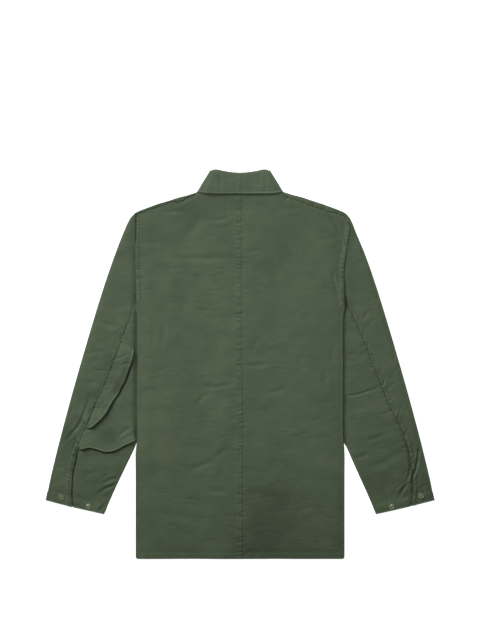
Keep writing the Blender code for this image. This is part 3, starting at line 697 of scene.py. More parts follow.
def leaf_lift(x, y, slope):
    """What the collar's leaf adds to it."""
    edge_x, edge_y = LEAF_EDGE[0]
    end_x, end_y = LEAF_EDGE[-1]
    reach = math.dist(LEAF_EDGE[0], LEAF_EDGE[-1])
    outward = ((y - edge_y) * (end_x - edge_x) - (x - edge_x) * (end_y - edge_y)) / reach
    return LEAF_LIFT * slope_down(slope, np.maximum(outward, end_y - y))


def front_z(x, y, upper):
    """A front's height: the upper one is the one that laps over the other."""
    centre = slope_down(LAP_SLOPE_X, x)
    lap = LAYER * centre if upper else 0.0
    snaps = SNAP_LIFT * centre * slope_down(LAP_SLOPE_Y, y)
    return CLOTH / 2.0 + tuck_lift(x, y) + side_lift(x, y) + leaf_lift(x, y, FRONT_LEAF_SLOPE) + snaps + lap


def back_z(x, y):
    """The back's height. It rises to its tucked sides more softly than the layers that it covers."""
    centre = (SNAP_LIFT + LAYER) * slope_down(BACK_SLOPE_X, x) * slope_down(BACK_SLOPE_Y, y)
    sleeve = HIDDEN_SLEEVE * ramp(*BACK_TUCK_SLOPE_X, x) * slope_down(SLEEVE_SLOPE_Y, y)
    sides = (sleeve + SIDE_TURN * ramp(*BACK_TURN_SLOPE_X, x)) * slope_down(SIDES_SLOPE_Y, y)
    return CLOTH / 2.0 + LAYER + sides + leaf_lift(x, y, BACK_LEAF_SLOPE) + centre


def turned_z(x, y, layer):
    """The height of a turned side: the back's is layer 0 and the front's is layer 1."""
    return CLOTH / 2.0 + layer * LAYER + tuck_lift(x, y)


def back_top_y(side_name, x):
    """The back's upper edge: at the collar, and past it below the shoulder seam."""
    seam = value_at(SHOULDER, x) - value_at(SEAM_DROP[side_name], x) - SEAM_GAP
    return np.where(x < NECK_CORNER_X, NECK_SEAM_Y, seam)


def armhole_x(side_name, y):
    return value_at(ARMHOLE_LINE[side_name], y)


# ---------------------------------------------------------------- relief of what shows

def crease_relief(sheet_name, x, y):
    """The creases of one sheet ("back", "left" sleeve or "right" sleeve) at signed places."""
    total = np.zeros(np.shape(x))
    for name, depth, width, *line in CREASES:
        if name != sheet_name:
            continue
        points = np.array([photo(*place) for place in line])
        margin = CREASE_MARGIN * width
        near = ((x > points[:, 0].min() - margin) & (x < points[:, 0].max() + margin)
                & (y > points[:, 1].min() - margin) & (y < points[:, 1].max() + margin))
        distance, share = line_field(points, x[near], y[near])
        ends = np.sin(np.clip(share, 0.02, 0.98) * math.pi) ** 0.6
        inside = np.exp(-np.abs(distance / width) ** 1.7)
        beside = bell(np.abs(distance) - CREASE_BANK_AT * width, width)
        total[near] += CREASE_GAIN * depth * ends * (CREASE_BANK * beside - inside)
    return total


def paint_light_and_shade(x, y):
    """The painted light, which makes the colour paler, and the painted shade, which makes it darker, at
    signed places.
    """
    total = np.zeros(np.shape(x))
    for amount, centre, reach_x, reach_y in PAINTED_LIGHT_AND_SHADE:
        centre_x, centre_y = photo(*centre)
        off = ((x - centre_x) / (reach_x * PHOTO_MM)) ** 2 + ((y - centre_y) / (reach_y * PHOTO_MM)) ** 2
        total += amount * np.exp(-off)
    return total


def small_creases(sheet_name, x, y):
    """Many short, shallow, uneven creases scattered over a sheet, most of them across it."""
    (x0, y0, x1, y1), count, seed, lean = SMALL_CREASES[sheet_name]
    source = np.random.default_rng(seed)
    total = np.zeros(np.shape(x))
    for _ in range(count):
        centre_x, centre_y = source.uniform(x0, x1), source.uniform(y0, y1)
        angle = lean + source.normal(0.0, SMALL_TURN)
        length, width = source.uniform(*SMALL_LENGTH), source.uniform(*SMALL_WIDTH)
        depth = source.uniform(*SMALL_DEPTH)
        margin = SMALL_MARGIN * length
        near = (np.abs(x - centre_x) < margin) & (np.abs(y - centre_y) < margin)
        off_x, off_y = x[near] - centre_x, y[near] - centre_y
        run = (off_x * math.cos(angle) + off_y * math.sin(angle)) / length
        bow = SMALL_BOW * length * run ** 2
        across = (off_y * math.cos(angle) - off_x * math.sin(angle) + bow) / width
        bank = SMALL_BANK * bell(across - SMALL_BANK_AT, 1.0)
        total[near] += depth * bell(run, 1.0) * (bank - bell(across, 1.0))
    return total


def unevenness(waves, x, y):
    """Soft unevenness, from a table of waves."""
    return sum(depth * smooth_noise(x * stretch, y, size, seed) for depth, stretch, size, seed in waves)


def beside_sleeve(side_name, y):
    """How far the body's side is drawn in where it lies on the sleeve."""
    return DRAWN_IN[side_name] * ramp(*DRAWN_IN_TOP_Y, y) * ramp(*DRAWN_IN_LOW_Y, y)


def centre_ditch_x(y):
    """Where the centre-back seam's folded edge lies."""
    return DITCH_X + DITCH_SHIFT * ramp(*DITCH_SHIFT_Y, y)


def step_down(edge, distance, soft=EDGE_SOFT):
    """1 inside an edge and 0 past it."""
    return 1.0 - ramp(edge - soft, edge + soft, distance)


def band_profile(distance, width, rows, rise):
    """Across a felled seam: 0 outside it, its rise inside it, and a sunk line at each row of stitches."""
    height = rise * ramp(*BAND_FROM, distance) * slope_down(BAND_TO, distance - width)
    return height + bells(distance, [(-ROW_SINK, row, ROW_WIDTH) for row in rows])


def rubbed_and_shaded(kind, distance, drawn):
    """How pale a seam is at a distance from it, where its gathers are drawn: rubbed paler, with a painted
    highlight between its gathers and painted shade in them.
    """
    amount, place, width, flat, gain, least = RUBBED_AND_SHADED[kind]
    return amount * bell(distance - place, width) * np.clip(flat + gain * drawn, least, 1.0)


def centre_seam(side, x, y):
    """The centre-back seam's relief and tone, with painted light and shade beside its rows. Its band lies on
    the left half.
    """
    from_ditch = centre_ditch_x(y) - x
    place = (y - HEM_Y, from_ditch - CENTRE_DRAWN_AT, NECK_SEAM_Y - HEM_Y)
    drawn = gathers("centre", *place) + gathers("centre, long", *place)
    z = drawn + bells(from_ditch, CENTRE_SWELL)
    if side < 0:
        z = z + band_profile(from_ditch, CENTRE_BAND, CENTRE_ROWS, CENTRE_RISE)
    return z, rubbed_and_shaded("centre", from_ditch, drawn) + bells(from_ditch, CENTRE_ROW_LIGHT_AND_SHADE)


def armhole_seam(side_name, x, y):
    """An armhole's felled band on the back. Low down it stands up; high on the left it is sunk. On the left
    it has painted shade along its edge and painted light and shade beside the sunk part's ridge.
    """
    side = SIDES[side_name]
    inside = armhole_x(side_name, y) - np.abs(x)
    place = (y - ARMHOLE_Y, inside - ARMHOLE_DRAWN_AT, ARMHOLE_LENGTH, side)
    drawn = gathers("armhole", *place) + gathers("armhole, long", *place)
    sunk = ramp(*SUNK_ABOVE_Y, y) * (side < 0)
    band = band_profile(inside, ARMHOLE_BAND, ARMHOLE_ROWS, ARMHOLE_RISE)
    z = band * (1.0 - BAND_SUNK * sunk) + bells(inside, ARMHOLE_RIDGE) * sunk + DRAWN_SHARE * drawn
    wear_and_painted_shading = PALER[side_name] * (1.0 - LESS_PALE * sunk) * rubbed_and_shaded("armhole", inside, drawn)
    # painted light and shade beside the sunk band's ridge, and on the left painted shade along the band's
    # edge
    wear_and_painted_shading = wear_and_painted_shading + sunk * bells(inside, ARMHOLE_RIDGE_LIGHT_AND_SHADE)
    if side < 0:
        wear_and_painted_shading = wear_and_painted_shading + bells(inside, ARMHOLE_EDGE_SHADE)
    return z, wear_and_painted_shading


def shoulder_seam(side_name, x, y):
    """The back's edge below the shoulder seam: drawn up, and low in the shade of the front's roll, with
    painted shade along it on the left, more beside the collar.
    """
    side, out = SIDES[side_name], np.abs(x)
    below = back_top_y(side_name, out) - y
    drawn = gathers("shoulder", out, below, SHOULDER_LENGTH, side)
    by_collar = slope_down(BY_COLLAR_X, out) * (side < 0)
    deep = SHADE_DEPTH + SHADE_NEAR_NECK * slope_down(NEAR_NECK_X, out) + SHADE_BY_COLLAR * by_collar
    z = DRAWN_SHARE * drawn - deep * bell(below, SHADE_WIDTH + SHADE_WIDER * by_collar)
    wear_and_painted_shading = SHOULDER_PALER[side_name] * rubbed_and_shaded("shoulder", below, drawn)
    # painted shade below the seam on the left, more beside the collar
    wear_and_painted_shading = wear_and_painted_shading + by_collar * bells(below, SHOULDER_SHADE_BY_COLLAR)
    if side < 0:
        wear_and_painted_shading = wear_and_painted_shading + bells(below, SHOULDER_SHADE)
    return z, wear_and_painted_shading


def label_seam(x, y):
    """The stitches and gathers of a label that is sewn on inside, below the collar."""
    frame_x = np.abs(x - LABEL_CENTRE[0]) - LABEL_HALF[0]
    frame_y = np.abs(y - LABEL_CENTRE[1]) - LABEL_HALF[1]
    edge = np.maximum(frame_x, frame_y)
    drawn = gathers("label", y, frame_x, LABEL_Y) * slope_down(LABEL_FADES, frame_y)
    relief = LABEL_RISE * step_down(0.0, edge, LABEL_SOFT) + bells(edge, LABEL_RELIEF) + drawn
    return relief, bells(edge, LABEL_TONES)


def back_relief(side_name, x, y):
    """What the back's surface has over the plain layer, at signed places; also its tone: wear, painted light
    and painted shade.
    """
    side, out, above = SIDES[side_name], np.abs(x), y - HEM_Y
    from_side = HALF_BODY - out
    ease_side, ease_hem = BODY_EASE_OVER
    z = BODY_EASE * ramp(0.0, ease_side, from_side) * ramp(0.0, ease_hem, above)
    z += crease_relief("back", x, y)
    uneven = unevenness(BACK_WAVES, x, y) + small_creases("back", x, y)
    z += uneven * ramp(0.0, CALM_SIDE, from_side)
    sewn, shoulder = ramp(*SEWN_Y, y), ramp(*SHOULDER_FROM_X, out)
    roll_depth, roll_reach = SIDE_ROLL[side_name]
    from_fold = from_side - FOLD_RADIUS - beside_sleeve(side_name, y)
    z -= roll_depth * (1.0 - sewn) * np.exp(-np.maximum(from_fold, 0.0) / roll_reach)
    wear_and_painted_shading = bells(from_side, SIDE_TONES) * (1.0 - sewn)
    for share, (rise, tone) in ((1.0, centre_seam(side, x, y)), (sewn, armhole_seam(side_name, x, y)),
                                (shoulder, shoulder_seam(side_name, x, y)), (1.0, label_seam(x, y))):
        z += share * rise
        wear_and_painted_shading += share * tone
    drawn = gathers("hem", x + HALF_BODY, above - HEM_DEPTH, 2.0 * HALF_BODY)
    z += HEM_RISE * step_down(HEM_DEPTH, above) + drawn + bells(above, HEM_ROWS_RELIEF)
    # painted light and painted shade are added to the tone here
    return z, np.clip(wear_and_painted_shading + bells(above, HEM_TONES) + paint_light_and_shade(x, y), *TONE_RANGE)


def sleeve_relief(side_name, x, y):
    """The same for a sleeve's upper layer, but for its seams, its end and its elbow's folds; its tone is
    painted shade in the depth of its deeper creases.
    """
    creases = crease_relief(side_name, x, y)
    relief = creases + unevenness(SLEEVE_WAVES[side_name], x, y) + small_creases(side_name, x, y)
    # painted shade in the depth of the deeper creases
    return relief, CREASE_SHADE * np.minimum(creases + CREASE_LIT, 0.0)


def elbow_fold(x, y):
    """How the left elbow's folds move the cloth at (x, y): in the plane as (n, 2), and up; and its painted
    shade and highlight.
    """
    moved = np.zeros(np.shape(x) + (2,))
    up, shade = np.zeros(np.shape(x)), np.zeros(np.shape(x))
    for rise, lean, reach, fades, *line in ELBOW_FOLDS:
        points = [photo(*place) for place in line]
        path = along(points, np.linspace(0.0, 1.0, FOLD_PATH))
        tangents = units(np.gradient(path, axis=0))
        distance, share = line_field(points, x, y)
        index = np.clip((share * (FOLD_PATH - 1)).astype(int), 0, FOLD_PATH - 1)
        to_high = points_of(tangents[index, 1], -tangents[index, 0])
        over = -distance
        full = ramp(0.0, fades[0], share) * ramp(1.0, 1.0 - fades[1], share)
        swell = ramp(0.0, FOLD_SWELL, over) * np.exp(-np.maximum(over - FOLD_SWELL, 0.0) / reach)
        up += full * (rise * swell + bells(over, FOLD_TROUGH))
        roll = np.sin(math.pi * np.clip(over / FOLD_ROLL, 0.0, 1.0))
        moved -= to_high * (lean * full * roll)[..., None]
        shade += full * bells(over, FOLD_SHADE_AND_HIGHLIGHT)
    return moved, up, shade


# ---------------------------------------------------------------- sheets

def fold_grid(centre_x, centre_y, out_x, out_y, z_high, z_low, shares):
    """The half circles that take a sheet from z_high round to z_low, at each share, as (n, shares, 3)."""
    radius, middle = (z_high - z_low) / 2.0, (z_high + z_low) / 2.0
    columns = []
    for share in shares:
        angle = math.pi * (0.5 - share)
        reach = radius * math.cos(angle)
        place = (centre_x + out_x * reach, centre_y + out_y * reach, middle + radius * math.sin(angle))
        columns.append(points_of(*place))
    return np.stack(columns, axis=1)


def spaced(start, *stops):
    """Places from start on: each stop is (end, step)."""
    places = [start]
    for end, step in stops:
        count = max(int(round((end - places[-1]) / step)), 1)
        places += list(np.linspace(places[-1], end, count + 1)[1:])
    return np.array(places)


def shares_of(parts):
    """Shares that run on through parts of (from, to, count)."""
    return np.concatenate([np.linspace(*part)[min(index, 1):] for index, part in enumerate(parts)])


def place_piece(name, mesh, material_name, node=None):
    """Puts a mesh in the scene as one piece, in place of a node of the solids if one is named."""
    piece = bpy.data.objects.new(name, mesh)
    bpy.context.scene.collection.objects.link(piece)
    mesh.materials.append(MATERIALS[material_name])
    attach(piece, "root")
    if node is not None:
        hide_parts(node)
    return piece


def sheet(node, points, wear_and_painted_shading, material_name, cut=None, wall=CLOTH, even=True):
    """A closed shell from a grid of points (rows, columns, 3) in millimetres, less the faces cut out."""
    rows, columns = points.shape[:2]
    index = np.arange(rows * columns).reshape(rows, columns)
    quads = np.stack([index[:-1, :-1], index[:-1, 1:], index[1:, 1:], index[1:, :-1]], axis=-1)
    quads = quads.reshape(-1, 4) if cut is None else quads[~cut]
    used = np.unique(quads)
    renumber = np.full(rows * columns, -1)
    renumber[used] = np.arange(len(used))
    mesh = bpy.data.meshes.new("cloth_" + node)
    mesh.from_pydata((points.reshape(-1, 3)[used] * METRES).tolist(), [], renumber[quads].tolist())
    # the cloth's tone, which its colour follows: wear together with painted light and painted shade
    attribute = mesh.attributes.new("wear_and_painted_shading", "FLOAT", "POINT")
    attribute.data.foreach_set("value", wear_and_painted_shading.reshape(-1)[used].astype(np.float32))
    mesh.shade_smooth()
    piece = place_piece("cloth_" + node, mesh, material_name, node)
    thicken = piece.modifiers.new("wall", "SOLIDIFY")
    thicken.thickness = wall * METRES
    thicken.offset = 0.0
    thicken.use_even_offset = even
    thicken.thickness_clamp = WALL_CLAMP
    CLOTH_PIECES.append(piece)
    return piece


def laid_grid(side_name, columns, rows_y, top_rows, top_y):
    """A body sheet's laid part, unsigned, as x and y. Its last columns follow the side and the armhole."""
    top_shares = np.linspace(0.0, 1.0, top_rows)[1:]
    base_y = np.concatenate([rows_y, np.full(len(top_shares), rows_y[-1])])[:, None]
    share = np.concatenate([np.zeros(len(rows_y)), top_shares])[:, None]
    corner = np.clip((HEM_Y + HEM_CORNER - base_y) / HEM_CORNER, 0.0, 1.0)
    rounded = HEM_CORNER * (1.0 - np.sqrt(1.0 - corner ** 2))
    y = base_y
    for _ in range(EDGE_PASSES):
        drawn_in = (armhole_x(side_name, ARMHOLE_Y) - HALF_BODY) * ramp(SIDE_BEND_Y, ARMHOLE_Y, y)
        folded = HALF_BODY + drawn_in - FOLD_RADIUS - rounded - beside_sleeve(side_name, y)
        seam = armhole_x(side_name, y) - SEAM_GAP / 2.0
        edge = folded + (seam - folded) * ramp(FOLD_ENDS_Y, ARMHOLE_Y, y)
        x = columns + (edge - HALF_BODY) * ramp(SIDE_BEND_X, HALF_BODY, columns)
        y = base_y + (top_y(side_name, x) - base_y) * share
    return x, y


def turned_y(y, x):
    """Where a row of a turned side lies: up here its rows close up to the underarm's edge."""
    inward = (HALF_BODY - x) / (HALF_BODY - SIDE_SEAM_X)
    edge = ARMHOLE_Y + (UNDERARM_Y - ARMHOLE_Y) * inward
    closing = (edge - TURN_BENDS_Y) / (ARMHOLE_Y - TURN_BENDS_Y)
    return np.where(y > TURN_BENDS_Y, TURN_BENDS_Y + (y - TURN_BENDS_Y) * closing, y)


def turned_side(x, y, z, layer, columns):
    """The fold at a body sheet's laid edge (x, y, z), and what is turned under past it, as two grids."""
    fold = fold_grid(x, y, 1.0, 0.0, z, turned_z(x, y, layer), FOLD_SHARES + [1.0])
    under_x = np.linspace(TURNED_FROM_X, SIDE_SEAM_X, columns)
    under_y = turned_y(y[:, None], under_x)
    return fold, points_of(under_x, under_y, turned_z(under_x, under_y, layer))


def back_half(side_name):
    """A half of the back, whose first columns follow the centre seam, with its turned side."""
    side = SIDES[side_name]
    lower = spaced(HEM_Y, (HEM_Y + FINE_HEM, FINE_STEP), (ARMHOLE_Y, BODY_STEP))
    rows_y = np.concatenate([lower, spaced(ARMHOLE_Y, (STRAIGHT_TOP_Y, BODY_STEP))[1:]])
    columns = spaced(0.0, *BACK_COLUMNS)
    x, y = laid_grid(side_name, columns, rows_y, BACK_TOP_ROWS, back_top_y)
    start = side * centre_ditch_x(y) - (0.0 if side < 0 else CENTRE_TUCK)
    x = x + start * (1.0 - ramp(0.0, CENTRE_REACH, columns))
    relief, tone = back_relief(side_name, side * x, y)
    covered = front_z(np.abs(x), y, side_name == "right") + CLOTH + CLEAR
    z = np.maximum(back_z(np.abs(x), y) + relief, covered)
    fold, under = turned_side(x[:, -1], y[:, -1], z[:, -1], 0, TURNED_COLUMNS["back"])
    points = np.concatenate([points_of(x, y, z), fold, under], axis=1)
    points[..., 0] *= side
    fold_tone = np.full(fold.shape[:2], FOLD_PALER["body"])
    wear_and_painted_shading = np.concatenate([tone, fold_tone, np.zeros(under.shape[:2])], axis=1)
    cut = np.zeros((points.shape[0] - 1, points.shape[1] - 1), bool)
    cut[len(lower) - 1:, len(columns) - 1:] = True
    sheet("back_" + side_name, points, wear_and_painted_shading, "back", cut)


def front_top_y(side_name, x):
    """A front's neck, and past it the line along which it folds over the shoulder."""
    over = value_at(SHOULDER, x) - (LAYER + CLOTH) / 2.0
    if side_name == "left":
        over = over - LEFT_SHOULDER_LOW * slope_down(LEFT_SHOULDER_X, x)
    return np.where(x < NECK_CORNER_X, value_at(FRONT_NECK, x), over)


def over_shoulder(side_name, x, ridge_y, low):
    """A front's rows from its fold over the shoulder to its seam on the back, and their tone, with painted
    shade in the gathers' troughs.
    """
    side = SIDES[side_name]
    drawn = gathers("shoulder fold", x, np.zeros(len(x)), SHOULDER_LENGTH, side)
    shares = [0.0] + FOLD_SHARES
    fold = fold_grid(x, ridge_y, 0.0, 1.0, back_z(x, ridge_y), low, shares[::-1]).swapaxes(0, 1)
    fold[..., 1] += FOLD_DRAWN_IN * drawn
    # the fold is darker in its gathers' troughs: painted shade
    fold_tone = np.clip(SHOULDER_FOLD_TONE[side_name] + drawn, *FOLD_TONE_RANGE)
    fold_tone = np.broadcast_to(fold_tone, fold.shape[:2])
    seam_y = np.minimum(back_top_y(side_name, x) + SEAM_GAP, ridge_y - 1.0)
    share = np.linspace(0.0, 1.0, SEAM_ROWS)[1:, None]
    y = ridge_y + (seam_y - ridge_y) * share
    drawn = gathers("shoulder band", x, seam_y - y, SHOULDER_LENGTH, side)
    first, span = PUFF_SHARES
    puffed = SHOULDER_PUFF_BASE + SHOULDER_PUFF * np.sin(math.pi * (first + span * share)) ** PUFF_POWER
    band = points_of(x, y, back_z(x, y) + puffed + BAND_DRAWN * drawn)
    # the band is darker in its gathers' troughs: painted shade
    band_tone = np.clip(SHOULDER_BAND_TONE[side_name] + BAND_GATHER_SHADE * drawn, *BAND_TONE_RANGE)
    return np.concatenate([fold, band]), np.concatenate([fold_tone, band_tone])


def front_half(side_name):
    """A front: mostly hidden, it shows from below and where it folds over the shoulder to its seam."""
    upper = side_name == "right"
    lower = spaced(HEM_Y, *FRONT_HEM)
    rows_y = np.concatenate([lower, spaced(ARMHOLE_Y, *FRONT_RISE)[1:]])
    columns = spaced(-LAP, *FRONT_COLUMNS)
    x, y = laid_grid(side_name, columns, rows_y, FRONT_TOP_ROWS, front_top_y)
    z = front_z(x, y, upper)
    edge_x, edge_y, edge_z = x[:, -1], y[:, -1], z[:, -1]
    fold, under = turned_side(edge_x, edge_y, edge_z, 1, TURNED_COLUMNS["front"])
    # above the underarm, the raised edge's allowance is turned down to the floor
    turn_row, allowance_top = len(lower) - 1, int(np.argmin(np.abs(rows_y - ALLOWANCE_TOP_Y)))
    down = slice(turn_row + 1, allowance_top + 1)
    part = np.linspace(0.0, 1.0, fold.shape[1] + 1)[1:]
    raised = edge_z[down, None]
    fold[down] = points_of(edge_x[down, None] - ALLOWANCE_LEAN * part, edge_y[down, None],
                           raised + (CLOTH / 2.0 + CLEAR - raised) * part)
    laid = np.concatenate([points_of(x, y, z), fold, under], axis=1)
    over, over_tone = over_shoulder(side_name, x[-1], y[-1], z[-1])
    main_rows, count = x.shape
    points = np.zeros((main_rows + len(over), laid.shape[1], 3))
    points[:main_rows], points[main_rows:, :count] = laid, over
    points[..., 0] *= SIDES[side_name]
    wear_and_painted_shading = np.zeros(points.shape[:2])
    wear_and_painted_shading[:main_rows, :count] = bells(x, FRONT_EDGE_TONES) + bells(y - HEM_Y, FRONT_HEM_TONES)
    wear_and_painted_shading[main_rows:, :count] = over_tone
    last, neck_column = count - 1, int(np.argmin(np.abs(columns - NECK_CORNER_X)))
    cut = np.zeros((points.shape[0] - 1, points.shape[1] - 1), bool)
    cut[turn_row:, last:] = True
    cut[turn_row:allowance_top, last:last + fold.shape[1]] = False
    cut[main_rows - 1:, :neck_column] = True
    sheet("front_" + side_name, points, wear_and_painted_shading, "front", cut)


# ---------------------------------------------------------------- sleeves

def sleeve_z(x, y, top):
    """The height of a sleeve's upper or lower layer: the body's at the armhole, and its own past it."""
    if top:
        level = back_z(HALF_BODY, y)
        rolls_over = ramp(SLEEVE_EDGE_X, SLEEVE_EDGE_X + SHOULDER_ROLL_WIDTH, x)
        roll = SHOULDER_ROLL * rolls_over * ramp(*SIDES_SLOPE_Y, y)
        risen = 1.0 - np.exp(-np.maximum(x - SLEEVE_EDGE_X + DIP_START, 0.0) / SLEEVE_DIP)
        own = CLOTH / 2.0 + LAYER + SLEEVE_EASE * risen * ramp(*SLEEVE_FLAT_Y, y)
    else:
        own, level, roll = CLOTH / 2.0, front_z(HALF_BODY, y, False), 0.0
    near = slope_down((SLEEVE_EDGE_X, SLEEVE_SLOPE_X), x) * ramp(ARMHOLE_Y, SLEEVE_LEVEL_Y, y)
    return own + (level - own) * near + roll


def sleeve_lines(side_name, shares):
    """A sleeve's two seams and two folded edges, each as (n, 2), and the way inward from the edges."""
    lines = {
        "back": along(BACK_SLEEVE_SEAM[side_name], shares),
        "front": along(FRONT_SLEEVE_SEAM, shares),
    }
    turn_square = ramp(0.0, SQUARE_SHARE, shares)[:, None]
    for fold, line, pace, at_armhole, turn in (
            ("outer", SLEEVE_OUTER[side_name], OUTER_LEAD, (0.0, -1.0), 1.0),
            ("inner", SLEEVE_INNER, INNER_LAG, (0.7, 0.7), -1.0)):
        own = shares ** pace
        before = along(line, np.maximum(own - TANGENT_SHARE, 0.0))
        after = along(line, np.minimum(own + TANGENT_SHARE, 1.0))
        tangent = units(after - before)
        square = points_of(tangent[:, 1] * turn, -tangent[:, 0] * turn)
        start = np.array(at_armhole)
        lines[fold] = along(line, own)
        lines[fold + " inward"] = units(start + (square - start) * turn_square)
    return lines


def vent_share(shares):
    """How far a sleeve's back seam is open, at shares of its length."""
    return ramp(VENT_FROM, VENT_FROM + VENT_OPENS, shares)


def sleeve_layer(side_name, fold, shares, lines, centre, top):
    """One layer of half a sleeve, unsigned, from its folded edge to a seam: its grid and its tone, with
    painted light and shade.
    """
    seam = lines["back" if top else "front"]
    toward = units(seam - centre)
    gap = SEAM_GAP / 2.0 + VENT_GAP / 2.0 * vent_share(shares) * top
    end = seam - toward * gap[:, None]
    steps = 1.0 - spaced(0.0, *ACROSS_SLEEVE)[::-1] if top else np.linspace(0.0, 1.0, LOWER_COLUMNS)
    xy = centre[:, None] + (end - centre)[:, None] * steps[:, None]
    bowed = np.maximum(1.0 - shares / BOW_SHARE, 0.0)[:, None] ** 2
    if fold == "inner":
        xy = xy + under_body_bend(side_name, steps, shares)
        bow = armhole_x(side_name, np.maximum(xy[..., 1], ARMHOLE_Y)) + SEAM_GAP / 2.0 - SLEEVE_EDGE_X
        xy[..., 0] += bow * bowed * ramp(*BOW_UNDER_Y, xy[..., 1])
    else:
        bow = armhole_x(side_name, np.maximum(xy[:1, :, 1], ARMHOLE_Y)) + SEAM_GAP / 2.0
        xy[..., 0] += (bow - xy[:1, :, 0]) * bowed
    x, y = xy[..., 0], xy[..., 1]
    if not top:
        return points_of(x, y, sleeve_z(x, y, False)), np.zeros(x.shape)
    # the seam's edge goes under the body's felled band
    from_body = x - armhole_x(side_name, np.maximum(y, ARMHOLE_Y))
    x = x - TUCKED_UNDER * bell(from_body, TUCKED_UNDER) * ramp(*BY_BODY_Y, y)
    length = np.linalg.norm(end - centre, axis=1)[:, None]
    from_edge, from_seam = steps * length, (1.0 - steps) * length
    relief, wear_and_painted_shading = top_relief(side_name, fold, shares, x, y, from_edge, from_seam, from_body)
    return points_of(x, y, np.maximum(sleeve_z(x, y, True) + relief, UPPER_LEAST_Z)), wear_and_painted_shading


def sleeve_half(side_name, fold):
    """Half of a sleeve: from its back seam, round one folded edge, to its front seam underneath."""
    shares = shares_of(SLEEVE_MESH)
    lines = sleeve_lines(side_name, shares)
    edge, inward = lines[fold], lines[fold + " inward"]
    depth = sleeve_z(edge[:, 0], edge[:, 1], True) - sleeve_z(edge[:, 0], edge[:, 1], False)
    centre = edge + inward * ((depth + CLOTH) / 2.0)[:, None]
    upper, upper_tone = sleeve_layer(side_name, fold, shares, lines, centre, True)
    lower, lower_tone = sleeve_layer(side_name, fold, shares, lines, centre, False)
    round_fold = fold_grid(*centre.T, *-inward.T, upper[:, 0, 2], lower[:, 0, 2], FOLD_SHARES)
    fold_tone = np.full(round_fold.shape[:2], FOLD_PALER["sleeve"])
    points = np.concatenate([upper[:, ::-1], round_fold, lower], axis=1)
    wear_and_painted_shading = np.concatenate([upper_tone[:, ::-1], fold_tone, lower_tone], axis=1)
    points[..., 0] *= SIDES[side_name]
    node = ("top" if fold == "outer" else "under") + "_sleeve_" + side_name
    piece = sheet(node, points, wear_and_painted_shading, "sleeve_" + side_name, even=side_name == "right")
    if side_name == "left":
        add_elbow_folds(piece)


def add_elbow_folds(piece):
    """Makes the mesh finer beside the elbow's folds, folds its upper layer there, and paints shade below the
    folds and a highlight along them.
    """
    form = bmesh.new()
    form.from_mesh(piece.data)
    centres = np.array([face.calc_center_median() for face in form.faces]) / METRES
    near = np.zeros(len(centres), bool)
    for fold in ELBOW_FOLDS:
        distance, _ = line_field([photo(*place) for place in fold[4:]], centres[:, 0], centres[:, 1])
        near |= (distance > FOLD_NEAR[0]) & (distance < FOLD_NEAR[1])
    near &= (centres[:, 2] > UPPER_LAYER_Z) & (np.abs(centres[:, 0]) > FOLD_FACES_X)
    edges = {edge for face, chosen in zip(form.faces, near) if chosen for edge in face.edges}
    bmesh.ops.subdivide_edges(form, edges=list(edges), cuts=FOLD_CUTS, use_grid_fill=True)
    corners = [corner for corner in form.verts if corner.co.z > UPPER_LAYER_Z * METRES]
    places = np.array([corner.co for corner in corners]) / METRES
    moved, up, shade = elbow_fold(places[:, 0], places[:, 1])
    tone = form.verts.layers.float["wear_and_painted_shading"]
    clear = ramp(*FOLD_FADES_X, np.abs(places[:, 0]))
    for corner, (move_x, move_y), move_z, dark, share in zip(corners, moved, up, shade, clear):
        # painted shade below each fold's edge and a painted highlight along it, taken into the tone
        corner[tone] = max(corner[tone] - FOLD_SHADE * float(dark * share), TONE_RANGE[0])
        corner.co += Vector((move_x, move_y, move_z)) * float(share) * METRES
        corner.co.z = max(corner.co.z, UPPER_LEAST_Z * METRES)
    form.to_mesh(piece.data)
    form.free()
    piece.data.shade_smooth()


def sleeve_seam(side_name, fold, shares, from_seam, under_body):
    """A sleeve's back seam: the top sleeve's felled band, and beside it the under sleeve's sunk edge."""
    length = length_of(BACK_SLEEVE_SEAM[side_name])
    shares = shares[:, None]
    closed = 1.0 - VENT_CALMS * vent_share(shares)
    at_vent = ramp(*NEAR_VENT, shares)
    if fold == "inner":
        place = (shares * length, from_seam, length, SIDES[side_name])
        drawn = gathers("under sleeve", *place) + gathers("under sleeve, long", *place)
        sink = UNDER_SINK[side_name] + UNDER_SINK_AT_VENT * at_vent
        return drawn * closed * under_body - sink * bell(from_seam, UNDER_SINK_WIDTH), 0.0
    place = (shares * length, from_seam - SLEEVE_DRAWN_AT, length, SIDES[side_name])
    drawn = gathers(side_name + " sleeve", *place) + gathers("sleeve, long", *place)
    rise = SLEEVE_RISE + VENT_RISE[side_name] * at_vent
    band = band_profile(from_seam, SLEEVE_BAND[side_name], SLEEVE_ROWS[side_name], rise)
    relief = band * ramp(0.0, BAND_FULL_FROM, shares) + drawn * closed
    return relief, rubbed_and_shaded(side_name + " sleeve", from_seam, drawn)


def sleeve_end(side_name, shares, columns):
    """The doubled hem of a sleeve's end."""
    side = SIDES[side_name]
    from_end = ((1.0 - shares) * length_of(BACK_SLEEVE_SEAM[side_name]))[:, None]
    across = np.linspace(0.0, CUFF_ACROSS, columns)
    drawn = gathers("cuff", across, from_end - CUFF_DEPTH, CUFF_ACROSS, side)
    drawn = drawn + gathers("cuff edge", across, from_end - CUFF_EDGE_AT, CUFF_ACROSS, side)
    relief = HEM_RISE * step_down(CUFF_DEPTH, from_end) + drawn + bells(from_end, CUFF_RELIEF)
    return relief, rubbed_and_shaded("cuff", from_end, drawn) + bells(from_end, CUFF_TONES)


